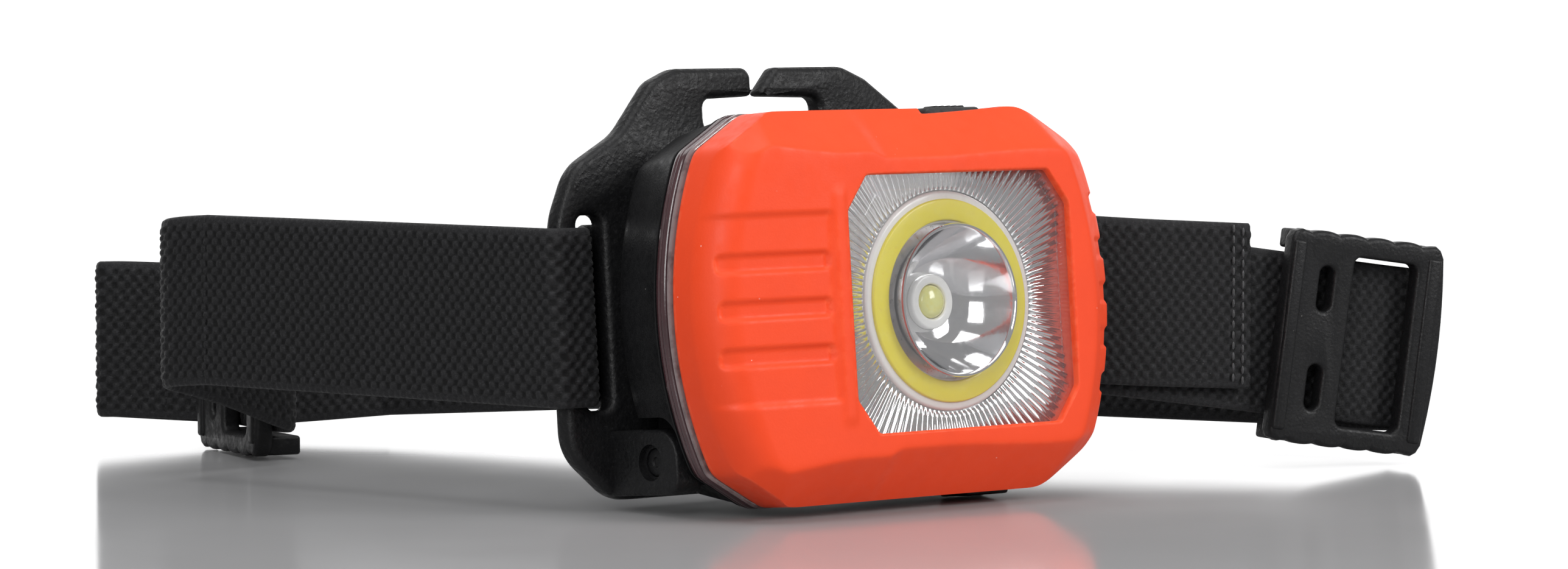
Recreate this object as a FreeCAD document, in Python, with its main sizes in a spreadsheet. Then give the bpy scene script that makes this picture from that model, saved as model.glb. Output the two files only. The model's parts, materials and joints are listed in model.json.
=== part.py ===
import FreeCAD, Part
import math
import os

import Sketcher
from FreeCAD import Placement, Rotation, Vector

# Headlamp, millimetres, +Z up, lamp looking along -Y, standing on its strap and its rear housing's tab.
# The lamp head is drawn in its own frame: x right, y back from the bezel's front, z up from mid height.
# That frame leans back by lean_angle and sits at lamp_x, lamp_y, lamp_height.

doc = FreeCAD.newDocument("Headlamp")
sizes = doc.addObject("Spreadsheet::Sheet", "Sizes")

DIMENSIONS = {
    # where the lamp head stands
    "lean_angle": 5.0, "lamp_x": -28.2, "lamp_y": -84.05, "lamp_height": 29.4,
    # outline shared by bezel, seal frame and housing, and its inner line
    "top_half": 21.0, "body_half_height": 27.2, "shoulder_half": 29.5, "shoulder_height": 22.2,
    "side_radius": 52.0, "right_extra": 4.2,
    "inner_top_half": 20.0, "inner_half_height": 25.0, "inner_shoulder_half": 27.3,
    "inner_shoulder_height": 20.9, "inner_side_radius": 50.0,
    # front bezel
    "bezel_depth": 12.0, "facet_depth": 6.0, "facet_height": 20.8, "beyond": 40.0, "overrun": 1.0,
    "face_flat_left": 12.4, "face_turn_left": 30.5, "face_turn_depth": 2.0, "face_side_depth": 6.0,
    "face_arc_radius": 90.0, "edge_arc_radius": 6.0, "face_flat_right": 33.0, "right_side_depth": 3.4,
    "right_arc_radius": 4.4, "bezel_side_half": 34.45,
    "grip_left": 31.5, "grip_right": 14.2, "grip_pitch": 6.4, "grip_half_height": 1.4, "grip_depth": 1.3,
    # window and lens
    "window_left": 11.9, "window_right": 29.3, "window_half_height": 17.85, "window_cut_x": 3.7,
    "window_cut_z": 4.9, "seat_left": 13.0, "seat_right": 30.4, "seat_half_height": 19.0,
    "lens_front": 1.1, "lens_thickness": 1.2, "seat_depth": 5.5, "lens_gap": 0.1,
    # lights, all centred on ring_x
    "ring_x": 9.8, "bowl_front": 2.4, "bowl_depth": 3.8, "bowl_mouth": 27.0, "bowl_floor": 5.0,
    "bowl_hole": 15.6, "board_front": 5.0, "board_back": 6.2, "board_outer": 15.5, "board_inner": 10.95,
    "phosphor_front": 4.7, "phosphor_outer": 14.2, "phosphor_inner": 11.4,
    "cup_front": 2.45, "cup_rim": 10.85, "cup_rim_inner": 10.3, "cup_mid_depth": 6.2, "cup_mid": 8.7,
    "cup_mid_inner": 8.0, "cup_low_depth": 8.1, "cup_low": 6.2, "cup_low_inner": 5.4, "cup_back": 9.4,
    "cup_base": 4.9, "cup_base_inner": 4.0,
    "collar_front": 8.6, "collar_outer": 3.9, "collar_inner": 2.45, "die_front": 8.7, "die_radius": 2.35,
    "die_back": 9.4, "chip_board_front": 9.4, "chip_board_back": 10.4, "chip_board_radius": 8.0,
    "plate_half_x": 18.0, "plate_half_z": 15.9, "plate_front": 6.2, "plate_back": 8.0, "plate_hole": 9.1,
    # electronics and cells
    "pcb_front": 11.0, "pcb_back": 12.6, "pcb_half_x": 17.4, "pcb_half_z": 21.0,
    "cell_radius": 5.25, "cell_half": 21.8, "cell_pitch": 10.7, "cell_depth": 18.4, "cell_nub": 0.9,
    "nub_radius": 1.9, "strip_half_x": 15.5, "strip_thin": 0.5, "strip_front": 14.6, "strip_back": 22.2,
    "strip_height": 24.2, "spring_radius": 3.4, "spring_wire": 0.25, "spring_turns": 3, "spring_rise": 0.57,
    "switch_left": 11.4, "switch_right": 17.4, "switch_front": 7.4, "switch_low": 18.6, "switch_high": 21.6,
    # seal, seal frame and rear housing
    "gasket_thickness": 0.4, "gasket_top_half": 20.4, "gasket_half_height": 26.3,
    "gasket_shoulder_half": 28.6, "gasket_shoulder_height": 21.5, "gasket_radius": 51.0,
    "frame_front": 12.4, "frame_depth": 3.3, "housing_front": 15.7, "housing_back": 27.0,
    "housing_top_half": 20.6, "housing_half_height": 26.8, "housing_shoulder_half": 29.0,
    "housing_shoulder_height": 21.9, "cavity_half_x": 17.2, "cavity_half_z": 24.9, "cavity_depth": 8.8,
    "notch_half": 25.9, "notch_top": 14.0, "notch_front": 16.4,
    "tab_left": 17.0, "tab_right": 25.0, "tab_front": 11.0, "tab_back": 17.5, "tab_low": 27.95,
    # screws that hold the housing to the bezel
    "screw_x": 20.2, "screw_z": 18.8, "screw_radius": 1.2, "screw_hole": 1.25, "screw_tip": 7.6,
    "boss_radius": 2.6, "boss_front": 6.4, "head_radius": 2.1, "head_hole": 2.3, "head_front": 24.6,
    "head_back": 26.6,
    # power button on the top wall
    "button_x": 14.4, "button_y": 8.9, "button_half_x": 5.2, "button_half_y": 2.3, "button_gap": 0.1,
    "button_top": 27.5, "button_flange_half_x": 5.8, "button_flange_low": 23.6, "button_flange_high": 24.7,
    "button_stem_half": 1.5, "button_stem_low": 22.6, "button_travel": 0.8,
    "recess_half_x": 7.5, "recess_front": 5.4, "recess_floor": 26.4,
    # tilting bracket with strap slots, hinge ears and top hook
    "bracket_front": 31.5, "bracket_thickness": 3.5, "bracket_half": 38.2, "bracket_low": 25.3,
    "bracket_corner_low": 18.5, "bracket_foot_half": 30.5, "bracket_corner_high": 14.0,
    "shoulder_out_x": 34.8, "shoulder_out_z": 22.0, "shoulder_in_x": 26.6, "shoulder_in_z": 26.6,
    "hook_half": 15.6, "hook_neck_x": 19.0, "hook_neck_z": 33.0, "hook_top": 35.0,
    "hook_slot_half": 10.7, "hook_slot_low": 25.2, "hook_slot_high": 30.8, "hook_cut_low": -2.6,
    "hook_cut_high": -0.6, "hook_cut_width": 1.6, "strap_slot_in": 30.2, "strap_slot_out": 34.6,
    "strap_slot_low": 12.6, "strap_slot_high": 14.7, "edge_round": 0.7, "ear_inner": 26.2,
    "ear_thickness": 4.8, "ear_front": 17.2, "ear_low": 24.7, "ear_high": 15.6, "ear_cut": 3.0,
    "pin_y": 23.0, "pin_z": 20.15, "pin_radius": 1.95, "pin_bore": 2.0, "pin_outer": 30.0,
    "pin_length": 7.2, "bore_depth": 3.3, "pin_recess": 2.55, "pin_recess_depth": 1.0,
    # elastic band and sliders
    "band_width": 25.0, "band_thickness": 1.6, "band_behind": 36.2, "band_join": 29.0,
    "strap_height": 27.2, "slider_half_x": 14.0, "slider_half_z": 16.25, "slider_front": 4.15,
    "slider_face_back": 1.15, "slider_cheek_x": 12.0, "slider_cheek_z": 13.1, "slider_back": 3.65,
    "slider_bar_left": 6.0, "slider_bar_right": 1.0, "slider_bar_front": 1.25,
    "slider_slot_left": 2.6, "slider_slot_right": 8.4, "slider_slot_half": 12.9,
    "slider_hole_x": 7.2, "slider_hole_half": 1.1, "slider_hole_low": 4.1, "slider_hole_high": 10.9,
    "slider_cut": 2.2,
}
for row, (alias, amount) in enumerate(DIMENSIONS.items(), start=1):
    sizes.set(f"A{row}", alias)
    sizes.set(f"B{row}", str(amount))
    sizes.setAlias(f"B{row}", alias)
doc.recompute()


# ---------------------------------------------------------------- sizes as sums of named cells
def number(words):
    """The value of a sum such as 'bezel_depth - facet_depth', read from the sheet."""
    total = 0.0
    sign = 1.0
    for word in words.split():
        if word in "+-":
            sign = 1.0 if word == "+" else -1.0
        else:
            total += sign * float(sizes.get(word))
            sign = 1.0
    return total


def bound(words):
    """The same sum as an expression for setExpression."""
    return " ".join(word if word in "+-" else "Sizes." + word for word in words.split())


def opposite(words):
    """The sum with every sign turned round."""
    signs = {"+": "-", "-": "+"}
    turned = [signs.get(word, word) for word in words.split()]
    return " ".join(turned) if words.startswith("-") else "- " + " ".join(turned)


def head_place(x=0.0, y=0.0, z=0.0):
    """A placement in the leaning frame of the lamp head."""
    lean = Rotation(Vector(1, 0, 0), -number("lean_angle"))
    base = Vector(number("lamp_x"), number("lamp_y"), number("lamp_height"))
    return Placement(base, lean).multiply(Placement(Vector(x, y, z), Rotation()))


# ---------------------------------------------------------------- sketch and feature helpers
def origin_plane(body, role):
    return [item for item in body.Origin.OriginFeatures if item.Role == role][0]


def new_body(name):
    body = doc.addObject("PartDesign::Body", name)
    body.Label = name
    return body


def new_sketch(body, role, offset, flip=False):
    """A sketch on one of the body's own planes, moved along that plane's normal."""
    sketch = body.newObject("Sketcher::SketchObject", body.Label + "_sketch")
    sketch.AttachmentSupport = (origin_plane(body, role), [""])
    sketch.MapMode = "FlatFace"
    along = bound(offset)
    sketch.setExpression("AttachmentOffset.Base.z", "-(" + along + ")" if flip else along)
    return sketch


def fix_point(sketch, edge, end, x_words, y_words):
    """Pin one end of an edge to named distances from the sketch's origin."""
    for kind, words, axis in (("DistanceX", x_words, -2), ("DistanceY", y_words, -1)):
        amount = number(words) if words else 0.0
        if abs(amount) < 1e-9:
            sketch.addConstraint(Sketcher.Constraint("PointOnObject", edge, end, axis))
            continue
        index = sketch.addConstraint(Sketcher.Constraint(kind, -1, 1, edge, end, amount))
        sketch.setExpression(f"Constraints[{index}]", bound(words))


def draw_outline(sketch, corners, arcs=None):
    """A closed outline through named corners; arcs maps an edge to the named radius of its bulge."""
    arcs = arcs or {}
    points = [Vector(number(x) if x else 0.0, number(y) if y else 0.0, 0) for x, y in corners]
    centre = sum(points, Vector()) * (1.0 / len(points))
    starts = []
    ends = []
    for index, start in enumerate(points):
        finish = points[(index + 1) % len(points)]
        if index not in arcs:
            edge = sketch.addGeometry(Part.LineSegment(start, finish), False)
            starts.append((edge, 1))
            ends.append((edge, 2))
            continue
        radius = number(arcs[index])
        middle = (start + finish) * 0.5
        half = (finish - start).Length / 2
        outward = Vector(finish.y - start.y, start.x - finish.x, 0).normalize()
        if outward.dot(middle - centre) < 0:
            outward = outward * -1
        crest = middle + outward * (radius - math.sqrt(radius ** 2 - half ** 2))
        curve = Part.Arc(start, crest, finish)
        edge = sketch.addGeometry(curve, False)
        forward = sketch.getPoint(edge, 1).distanceToPoint(start) < 1e-6
        starts.append((edge, 1 if forward else 2))
        ends.append((edge, 2 if forward else 1))
        radius_index = sketch.addConstraint(Sketcher.Constraint("Radius", edge, radius))
        sketch.setExpression(f"Constraints[{radius_index}]", bound(arcs[index]))
    for index, (x, y) in enumerate(corners):
        before = ends[index - 1]
        after = starts[index]
        sketch.addConstraint(Sketcher.Constraint("Coincident", before[0], before[1], after[0], after[1]))
        fix_point(sketch, after[0], after[1], x, y)


def draw_circle(sketch, x_words, y_words, radius):
    centre = Vector(number(x_words) if x_words else 0.0, number(y_words) if y_words else 0.0, 0)
    edge = sketch.addGeometry(Part.Circle(centre, Vector(0, 0, 1), number(radius)), False)
    fix_point(sketch, edge, 3, x_words, y_words)
    index = sketch.addConstraint(Sketcher.Constraint("Radius", edge, number(radius)))
    sketch.setExpression(f"Constraints[{index}]", bound(radius))


def extrude(body, sketch, length, cut=False, reverse=False):
    """Pad or pocket the sketch; a pocket has to take material away."""
    before = body.Shape.Volume if body.Tip else 0.0
    feature = body.newObject("PartDesign::Pocket" if cut else "PartDesign::Pad", body.Label + "_step")
    feature.Profile = sketch
    feature.Reversed = reverse
    feature.setExpression("Length", bound(length))
    doc.recompute()
    change = body.Shape.Volume - before
    if (change > -1e-6) if cut else (change < 1e-6):
        raise RuntimeError(f"{body.Label}: {feature.Name} changed the volume by {change:.4f}")
    return feature


def pad_back(body, corners, front, depth, arcs=None):
    """Pad a front-view outline backwards from the depth named front."""
    sketch = new_sketch(body, "XZ_Plane", front, flip=True)
    draw_outline(sketch, corners, arcs)
    return extrude(body, sketch, depth, reverse=True)


def cut_back(body, corners, front, depth, arcs=None):
    sketch = new_sketch(body, "XZ_Plane", front, flip=True)
    draw_outline(sketch, corners, arcs)
    return extrude(body, sketch, depth, cut=True)


def pad_round(body, x, z, radius, front, depth, cut=False):
    """A round boss, or with cut a round hole, from the depth named front backwards."""
    sketch = new_sketch(body, "XZ_Plane", front, flip=True)
    draw_circle(sketch, x, z, radius)
    return extrude(body, sketch, depth, cut=cut, reverse=not cut)


def cut_down(body, corners, top, depth, arcs=None):
    """Cut a plan-view outline downwards from the height named top."""
    sketch = new_sketch(body, "XY_Plane", top)
    draw_outline(sketch, corners, arcs)
    return extrude(body, sketch, depth, cut=True)


def side_step(body, corners, left, width, cut=False, arcs=None):
    """Pad or cut a side-view outline, drawn in y and z, rightwards from the x named left."""
    sketch = new_sketch(body, "YZ_Plane", left)
    draw_outline(sketch, corners, arcs)
    return extrude(body, sketch, width, cut=cut, reverse=cut)


def revolved(name, corners):
    """A ring or cup turned about the y axis; corners are pairs of radius and depth."""
    body = new_body(name)
    sketch = body.newObject("Sketcher::SketchObject", name + "_sketch")
    sketch.AttachmentSupport = (origin_plane(body, "XY_Plane"), [""])
    sketch.MapMode = "FlatFace"
    draw_outline(sketch, corners)
    turn = body.newObject("PartDesign::Revolution", name + "_turn")
    turn.Profile = sketch
    turn.ReferenceAxis = (sketch, ["V_Axis"])
    turn.Angle = 360.0
    doc.recompute()
    body.Placement = head_place(number("ring_x"))
    return body


def box_corners(left, right, low, high):
    return [(left, low), (right, low), (right, high), (left, high)]


def body_outline(top, height, shoulder, shoulder_height):
    """The lamp's eight-cornered outline; the two side edges, 1 and 5, bulge."""
    right_top = top + " + right_extra"
    right_shoulder = shoulder + " + right_extra"
    return [(right_top, "- " + height), (right_shoulder, "- " + shoulder_height),
            (right_shoulder, shoulder_height), (right_top, height), ("- " + top, height),
            ("- " + shoulder, shoulder_height), ("- " + shoulder, "- " + shoulder_height),
            ("- " + top, "- " + height)]


def cut_corner_box(left, right, half, cut_x, cut_z):
    """A rectangle about mid height with its four corners cut off."""
    low = opposite(half)
    return [(left + " + " + cut_x, low), (right + " - " + cut_x, low), (right, low + " + " + cut_z),
            (right, half + " - " + cut_z), (right + " - " + cut_x, half), (left + " + " + cut_x, half),
            (left, half + " - " + cut_z), (left, low + " + " + cut_z)]


OUTER = body_outline("top_half", "body_half_height", "shoulder_half", "shoulder_height")
INNER = body_outline("inner_top_half", "inner_half_height", "inner_shoulder_half", "inner_shoulder_height")
OUTER_ARCS = {1: "side_radius", 5: "side_radius"}
INNER_ARCS = {1: "inner_side_radius", 5: "inner_side_radius"}
SCREWS = [(x, z) for x in ("screw_x", "- screw_x") for z in ("screw_z", "- screw_z")]
STEPS_IN_TURN = 16
WIRE_SIDES = 6


# ---------------------------------------------------------------- front bezel, lens and lights
def make_front_bezel():
    """Moulded front: outline block, sloped top, bottom and sides, window, grips and a hollow back."""
    body = new_body("front_bezel")
    sketch = new_sketch(body, "XZ_Plane", "bezel_depth", flip=True)
    draw_outline(sketch, OUTER, OUTER_ARCS)
    extrude(body, sketch, "bezel_depth")
    upper_slope = [("- overrun", "facet_height - overrun"), ("facet_depth", "body_half_height"),
                   ("facet_depth", "beyond"), ("- overrun", "beyond")]
    lower_slope = [(depth, opposite(height)) for depth, height in upper_slope]
    for slope in (upper_slope, lower_slope):
        side_step(body, slope, "- beyond", "beyond + beyond", cut=True)
    left = [("- face_flat_left", ""), ("- face_turn_left", "face_turn_depth"),
            ("- bezel_side_half", "face_side_depth"), ("- beyond", "face_side_depth"),
            ("- beyond", "- overrun"), ("- face_flat_left", "- overrun")]
    right = [("face_flat_right", ""), ("bezel_side_half + right_extra", "right_side_depth"),
             ("beyond", "right_side_depth"), ("beyond", "- overrun"), ("face_flat_right", "- overrun")]
    for corners in (left, right):
        cut_down(body, corners, "beyond", "beyond + beyond")
    window = cut_corner_box("- window_left", "window_right", "window_half_height",
                            "window_cut_x", "window_cut_z")
    seat = cut_corner_box("- seat_left", "seat_right", "seat_half_height", "window_cut_x", "window_cut_z")
    cut_back(body, window, "- overrun", "overrun + lens_front + overrun")
    cut_back(body, seat, "lens_front", "bezel_depth")
    cut_back(body, INNER, "lens_front + seat_depth", "bezel_depth", INNER_ARCS)
    for x, z in SCREWS:
        pad_round(body, x, z, "boss_radius", "boss_front", "bezel_depth - boss_front")
    for x, z in SCREWS:
        pad_round(body, x, z, "screw_radius", "screw_tip", "bezel_depth", cut=True)
    for shift in ("", " + grip_pitch", " - grip_pitch"):
        grip = box_corners("- grip_left", "- grip_right",
                           "- grip_half_height" + shift, "grip_half_height" + shift)
        cut_back(body, grip, "- overrun", "overrun + grip_depth")
    recess = box_corners("button_x - recess_half_x", "button_x + recess_half_x",
                         "recess_front", "bezel_depth + overrun")
    cut_down(body, recess, "beyond", "beyond - recess_floor")
    hole = box_corners("button_x - button_half_x - button_gap", "button_x + button_half_x + button_gap",
                       "button_y - button_half_y - button_gap", "button_y + button_half_y + button_gap")
    cut_down(body, hole, "beyond", "beyond - inner_half_height + overrun")
    body.Placement = head_place()


def make_window_lens():
    body = new_body("window_lens")
    corners = cut_corner_box("- seat_left + lens_gap", "seat_right - lens_gap",
                             "seat_half_height - lens_gap", "window_cut_x", "window_cut_z")
    pad_back(body, corners, "lens_front", "lens_thickness")
    body.Placement = head_place()


def make_fluted_bowl():
    """Square-mouthed bowl round the board: a block with a conical cut and a round hole."""
    body = new_body("fluted_reflector")
    corners = cut_corner_box("- seat_left + lens_gap", "seat_right - lens_gap",
                             "seat_half_height - lens_gap", "window_cut_x", "window_cut_z")
    pad_back(body, corners, "bowl_front", "bowl_depth")
    sketch = body.newObject("Sketcher::SketchObject", "bowl_cut_sketch")
    sketch.AttachmentSupport = (origin_plane(body, "XY_Plane"), [""])
    sketch.MapMode = "FlatFace"
    sketch.setExpression("AttachmentOffset.Base.x", bound("ring_x"))
    draw_outline(sketch, [("", "bowl_front - overrun"), ("bowl_mouth", "bowl_front - overrun"),
                          ("bowl_mouth", "bowl_front"), ("bowl_hole", "bowl_floor"),
                          ("bowl_hole", "beyond"), ("", "beyond")])
    groove = body.newObject("PartDesign::Groove", "bowl_cut")
    before = body.Shape.Volume
    groove.Profile = sketch
    groove.ReferenceAxis = (sketch, ["V_Axis"])
    groove.Angle = 360.0
    doc.recompute()
    if body.Shape.Volume > before - 1.0:
        raise RuntimeError("the bowl's cut took nothing away")
    body.Placement = head_place()


def make_lights():
    """The ring light's board and phosphor, the chrome spot cup, and the spot chip at its foot."""
    revolved("ring_board", [("board_inner", "board_front"), ("board_outer", "board_front"),
                            ("board_outer", "board_back"), ("board_inner", "board_back")])
    revolved("ring_phosphor", [("phosphor_inner", "phosphor_front"), ("phosphor_outer", "phosphor_front"),
                               ("phosphor_outer", "board_front"), ("phosphor_inner", "board_front")])
    revolved("spot_reflector", [("cup_rim_inner", "cup_front"), ("cup_rim", "cup_front"),
                                ("cup_mid", "cup_mid_depth"), ("cup_low", "cup_low_depth"),
                                ("cup_base", "cup_back"), ("cup_base_inner", "cup_back"),
                                ("cup_low_inner", "cup_low_depth"), ("cup_mid_inner", "cup_mid_depth")])
    revolved("chip_collar", [("collar_inner", "collar_front"), ("collar_outer", "collar_front"),
                             ("collar_outer", "cup_back"), ("collar_inner", "cup_back")])
    revolved("spot_chip", [("", "die_front"), ("die_radius", "die_front"), ("die_radius", "die_back"),
                           ("", "die_back")])
    revolved("chip_board", [("", "chip_board_front"), ("chip_board_radius", "chip_board_front"),
                            ("chip_board_radius", "chip_board_back"), ("", "chip_board_back")])
    body = new_body("heat_plate")
    corners = box_corners("ring_x - plate_half_x", "ring_x + plate_half_x", "- plate_half_z", "plate_half_z")
    pad_back(body, corners, "plate_front", "plate_back - plate_front")
    pad_round(body, "ring_x", "", "plate_hole", "plate_front", "plate_back", cut=True)
    body.Placement = head_place()


# ---------------------------------------------------------------- seal, seal frame, housing, electronics
def make_ring(name, outer, outer_arcs, front, depth):
    """A frame that follows the body outline, open in the middle."""
    body = new_body(name)
    pad_back(body, outer, front, depth, outer_arcs)
    cut_back(body, INNER, front + " - overrun", depth + " + overrun + overrun", INNER_ARCS)
    body.Placement = head_place()


def make_seals():
    gasket = body_outline("gasket_top_half", "gasket_half_height", "gasket_shoulder_half",
                          "gasket_shoulder_height")
    make_ring("seal_gasket", gasket, {1: "gasket_radius", 5: "gasket_radius"},
              "bezel_depth", "gasket_thickness")
    make_ring("seal_frame", OUTER, OUTER_ARCS, "frame_front", "frame_depth")


def make_rear_housing():
    """Rear shell: cell bay, screw holes, a notch and a bore for each hinge ear, and the latch tab."""
    body = new_body("rear_housing")
    outline = body_outline("housing_top_half", "housing_half_height", "housing_shoulder_half",
                           "housing_shoulder_height")
    pad_back(body, outline, "housing_front", "housing_back - housing_front", OUTER_ARCS)
    bay = box_corners("- cavity_half_x", "cavity_half_x", "- cavity_half_z", "cavity_half_z")
    cut_back(body, bay, "housing_front - overrun", "cavity_depth + overrun")
    for wall, outside, bore_left in (
            ("notch_half + right_extra", "beyond", "notch_half + right_extra - bore_depth"),
            ("- notch_half", "- beyond", "- notch_half - overrun")):
        notch = box_corners(wall, outside, "- beyond", "- notch_top")
        cut_back(body, notch, "notch_front", "beyond")
        sketch = new_sketch(body, "YZ_Plane", bore_left)
        draw_circle(sketch, "pin_y", "- pin_z", "pin_bore")
        extrude(body, sketch, "bore_depth + overrun", cut=True, reverse=True)
    for x, z in SCREWS:
        pad_round(body, x, z, "screw_hole", "housing_front - overrun", "beyond", cut=True)
        pad_round(body, x, z, "head_hole", "head_front", "beyond", cut=True)
    tab = box_corners("tab_left", "tab_right", "- tab_low", "- body_half_height")
    pad_back(body, tab, "tab_front", "tab_back - tab_front")
    root = box_corners("tab_left", "tab_right", "- body_half_height", "- inner_half_height")
    pad_back(body, root, "housing_front", "tab_back - housing_front")
    body.Placement = head_place()


def make_screws():
    """Four housing screws, one node: their heads sit in the rear housing's sunk holes."""
    parts = []
    for index, (x, z) in enumerate(SCREWS, start=1):
        shank = doc.addObject("Part::Cylinder", f"screw_shank_{index}")
        shank.setExpression("Radius", bound("screw_radius"))
        shank.setExpression("Height", bound("head_front - screw_tip"))
        head = doc.addObject("Part::Cylinder", f"screw_head_{index}")
        head.setExpression("Radius", bound("head_radius"))
        head.setExpression("Height", bound("head_back - head_front"))
        backwards = Placement(Vector(), Rotation(Vector(1, 0, 0), -90))
        shank.Placement = head_place(number(x), number("screw_tip"), number(z)).multiply(backwards)
        head.Placement = head_place(number(x), number("head_front"), number(z)).multiply(backwards)
        screw = doc.addObject("Part::Fuse", f"screw_{index}")
        screw.Base = shank
        screw.Tool = head
        parts.append(screw)
    group = doc.addObject("Part::Compound", "housing_screws")
    group.Links = parts
    group.Label = "housing_screws"


def make_electronics():
    board = new_body("main_board")
    corners = box_corners("- pcb_half_x", "pcb_half_x", "- pcb_half_z", "pcb_half_z")
    pad_back(board, corners, "pcb_front", "pcb_back - pcb_front")
    board.Placement = head_place()
    switch = new_body("button_switch")
    corners = box_corners("switch_left", "switch_right", "switch_low", "switch_high")
    pad_back(switch, corners, "switch_front", "pcb_front - switch_front")
    switch.Placement = head_place()


def make_power_button():
    """Rubber-topped plunger: cap through the top wall, retaining flange and a stem over the switch."""
    body = new_body("power_button")
    levels = [("button_half_x", "button_half_y", "button_flange_high", "button_top"),
              ("button_flange_half_x", "button_half_y", "button_flange_low", "button_flange_high"),
              ("button_stem_half", "button_stem_half", "button_stem_low", "button_flange_low")]
    for half_x, half_y, low, high in levels:
        sketch = new_sketch(body, "XY_Plane", low)
        draw_outline(sketch, box_corners("button_x - " + half_x, "button_x + " + half_x,
                                         "button_y - " + half_y, "button_y + " + half_y))
        extrude(body, sketch, high + " - " + low)
    body.Placement = head_place()


def make_cells():
    """Three cells side by side, each with its raised contact, held between contact strips and springs."""
    for name, step in (("cell_left", -1), ("cell_middle", 0), ("cell_right", 1)):
        place = head_place(step * number("cell_pitch"), number("cell_depth"), 0)
        can = doc.addObject("Part::Cylinder", name + "_can")
        can.setExpression("Radius", bound("cell_radius"))
        can.setExpression("Height", bound("cell_half + cell_half"))
        can.Placement = place.multiply(Placement(Vector(0, 0, -number("cell_half")), Rotation()))
        nub = doc.addObject("Part::Cylinder", name + "_nub")
        nub.setExpression("Radius", bound("nub_radius"))
        nub.setExpression("Height", bound("cell_nub"))
        nub.Placement = place.multiply(Placement(Vector(0, 0, number("cell_half")), Rotation()))
        cell = doc.addObject("Part::Fuse", name)
        cell.Base = can
        cell.Tool = nub
        cell.Label = name
    for name, low in (("upper_contact_strip", "strip_height"),
                      ("lower_contact_strip", "- strip_height - strip_thin")):
        body = new_body(name)
        sketch = new_sketch(body, "XY_Plane", low)
        draw_outline(sketch, box_corners("- strip_half_x", "strip_half_x", "strip_front", "strip_back"))
        extrude(body, sketch, "strip_thin")
        body.Placement = head_place()


def skin(name, rings):
    """A closed solid of flat triangles through a row of rings that have the same number of corners."""
    count = len(rings[0])
    faces = [Part.Face(Part.makePolygon(ring + [ring[0]])) for ring in (rings[0], rings[-1])]
    for ring, following in zip(rings, rings[1:]):
        for corner in range(count):
            nearer = (corner + 1) % count
            for triangle in ([ring[corner], ring[nearer], following[corner]],
                             [ring[nearer], following[nearer], following[corner]]):
                faces.append(Part.Face(Part.makePolygon(triangle + [triangle[0]])))
    solid = Part.makeSolid(Part.makeShell(faces))
    if solid.Volume < 0:
        solid.reverse()
    if not solid.isValid():
        raise RuntimeError(f"{name}: the skin isn't a valid solid")
    return solid


def make_contact_springs():
    """Three springs under the cells, each a six-sided wire wound round in even steps."""
    coils = []
    wire = number("spring_wire")
    radius = number("spring_radius")
    turns = int(number("spring_turns"))
    bottom = -number("strip_height") + wire
    for step in (-1, 0, 1):
        centre = Vector(step * number("cell_pitch"), number("cell_depth"), bottom)
        rings = []
        for index in range(turns * STEPS_IN_TURN + 1):
            turn = math.tau * index / STEPS_IN_TURN
            outward = Vector(math.cos(turn), math.sin(turn), 0)
            middle = centre + outward * radius
            middle.z += number("spring_rise") * index / STEPS_IN_TURN
            corners = [math.tau * side / WIRE_SIDES for side in range(WIRE_SIDES)]
            rings.append([middle + outward * (wire * math.cos(angle)) + Vector(0, 0, wire * math.sin(angle))
                          for angle in corners])
        coils.append(skin("contact_springs", rings))
    springs = doc.addObject("Part::Feature", "contact_springs")
    springs.Shape = Part.makeCompound(coils)
    springs.Placement = head_place()
    springs.Label = "contact_springs"


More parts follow.
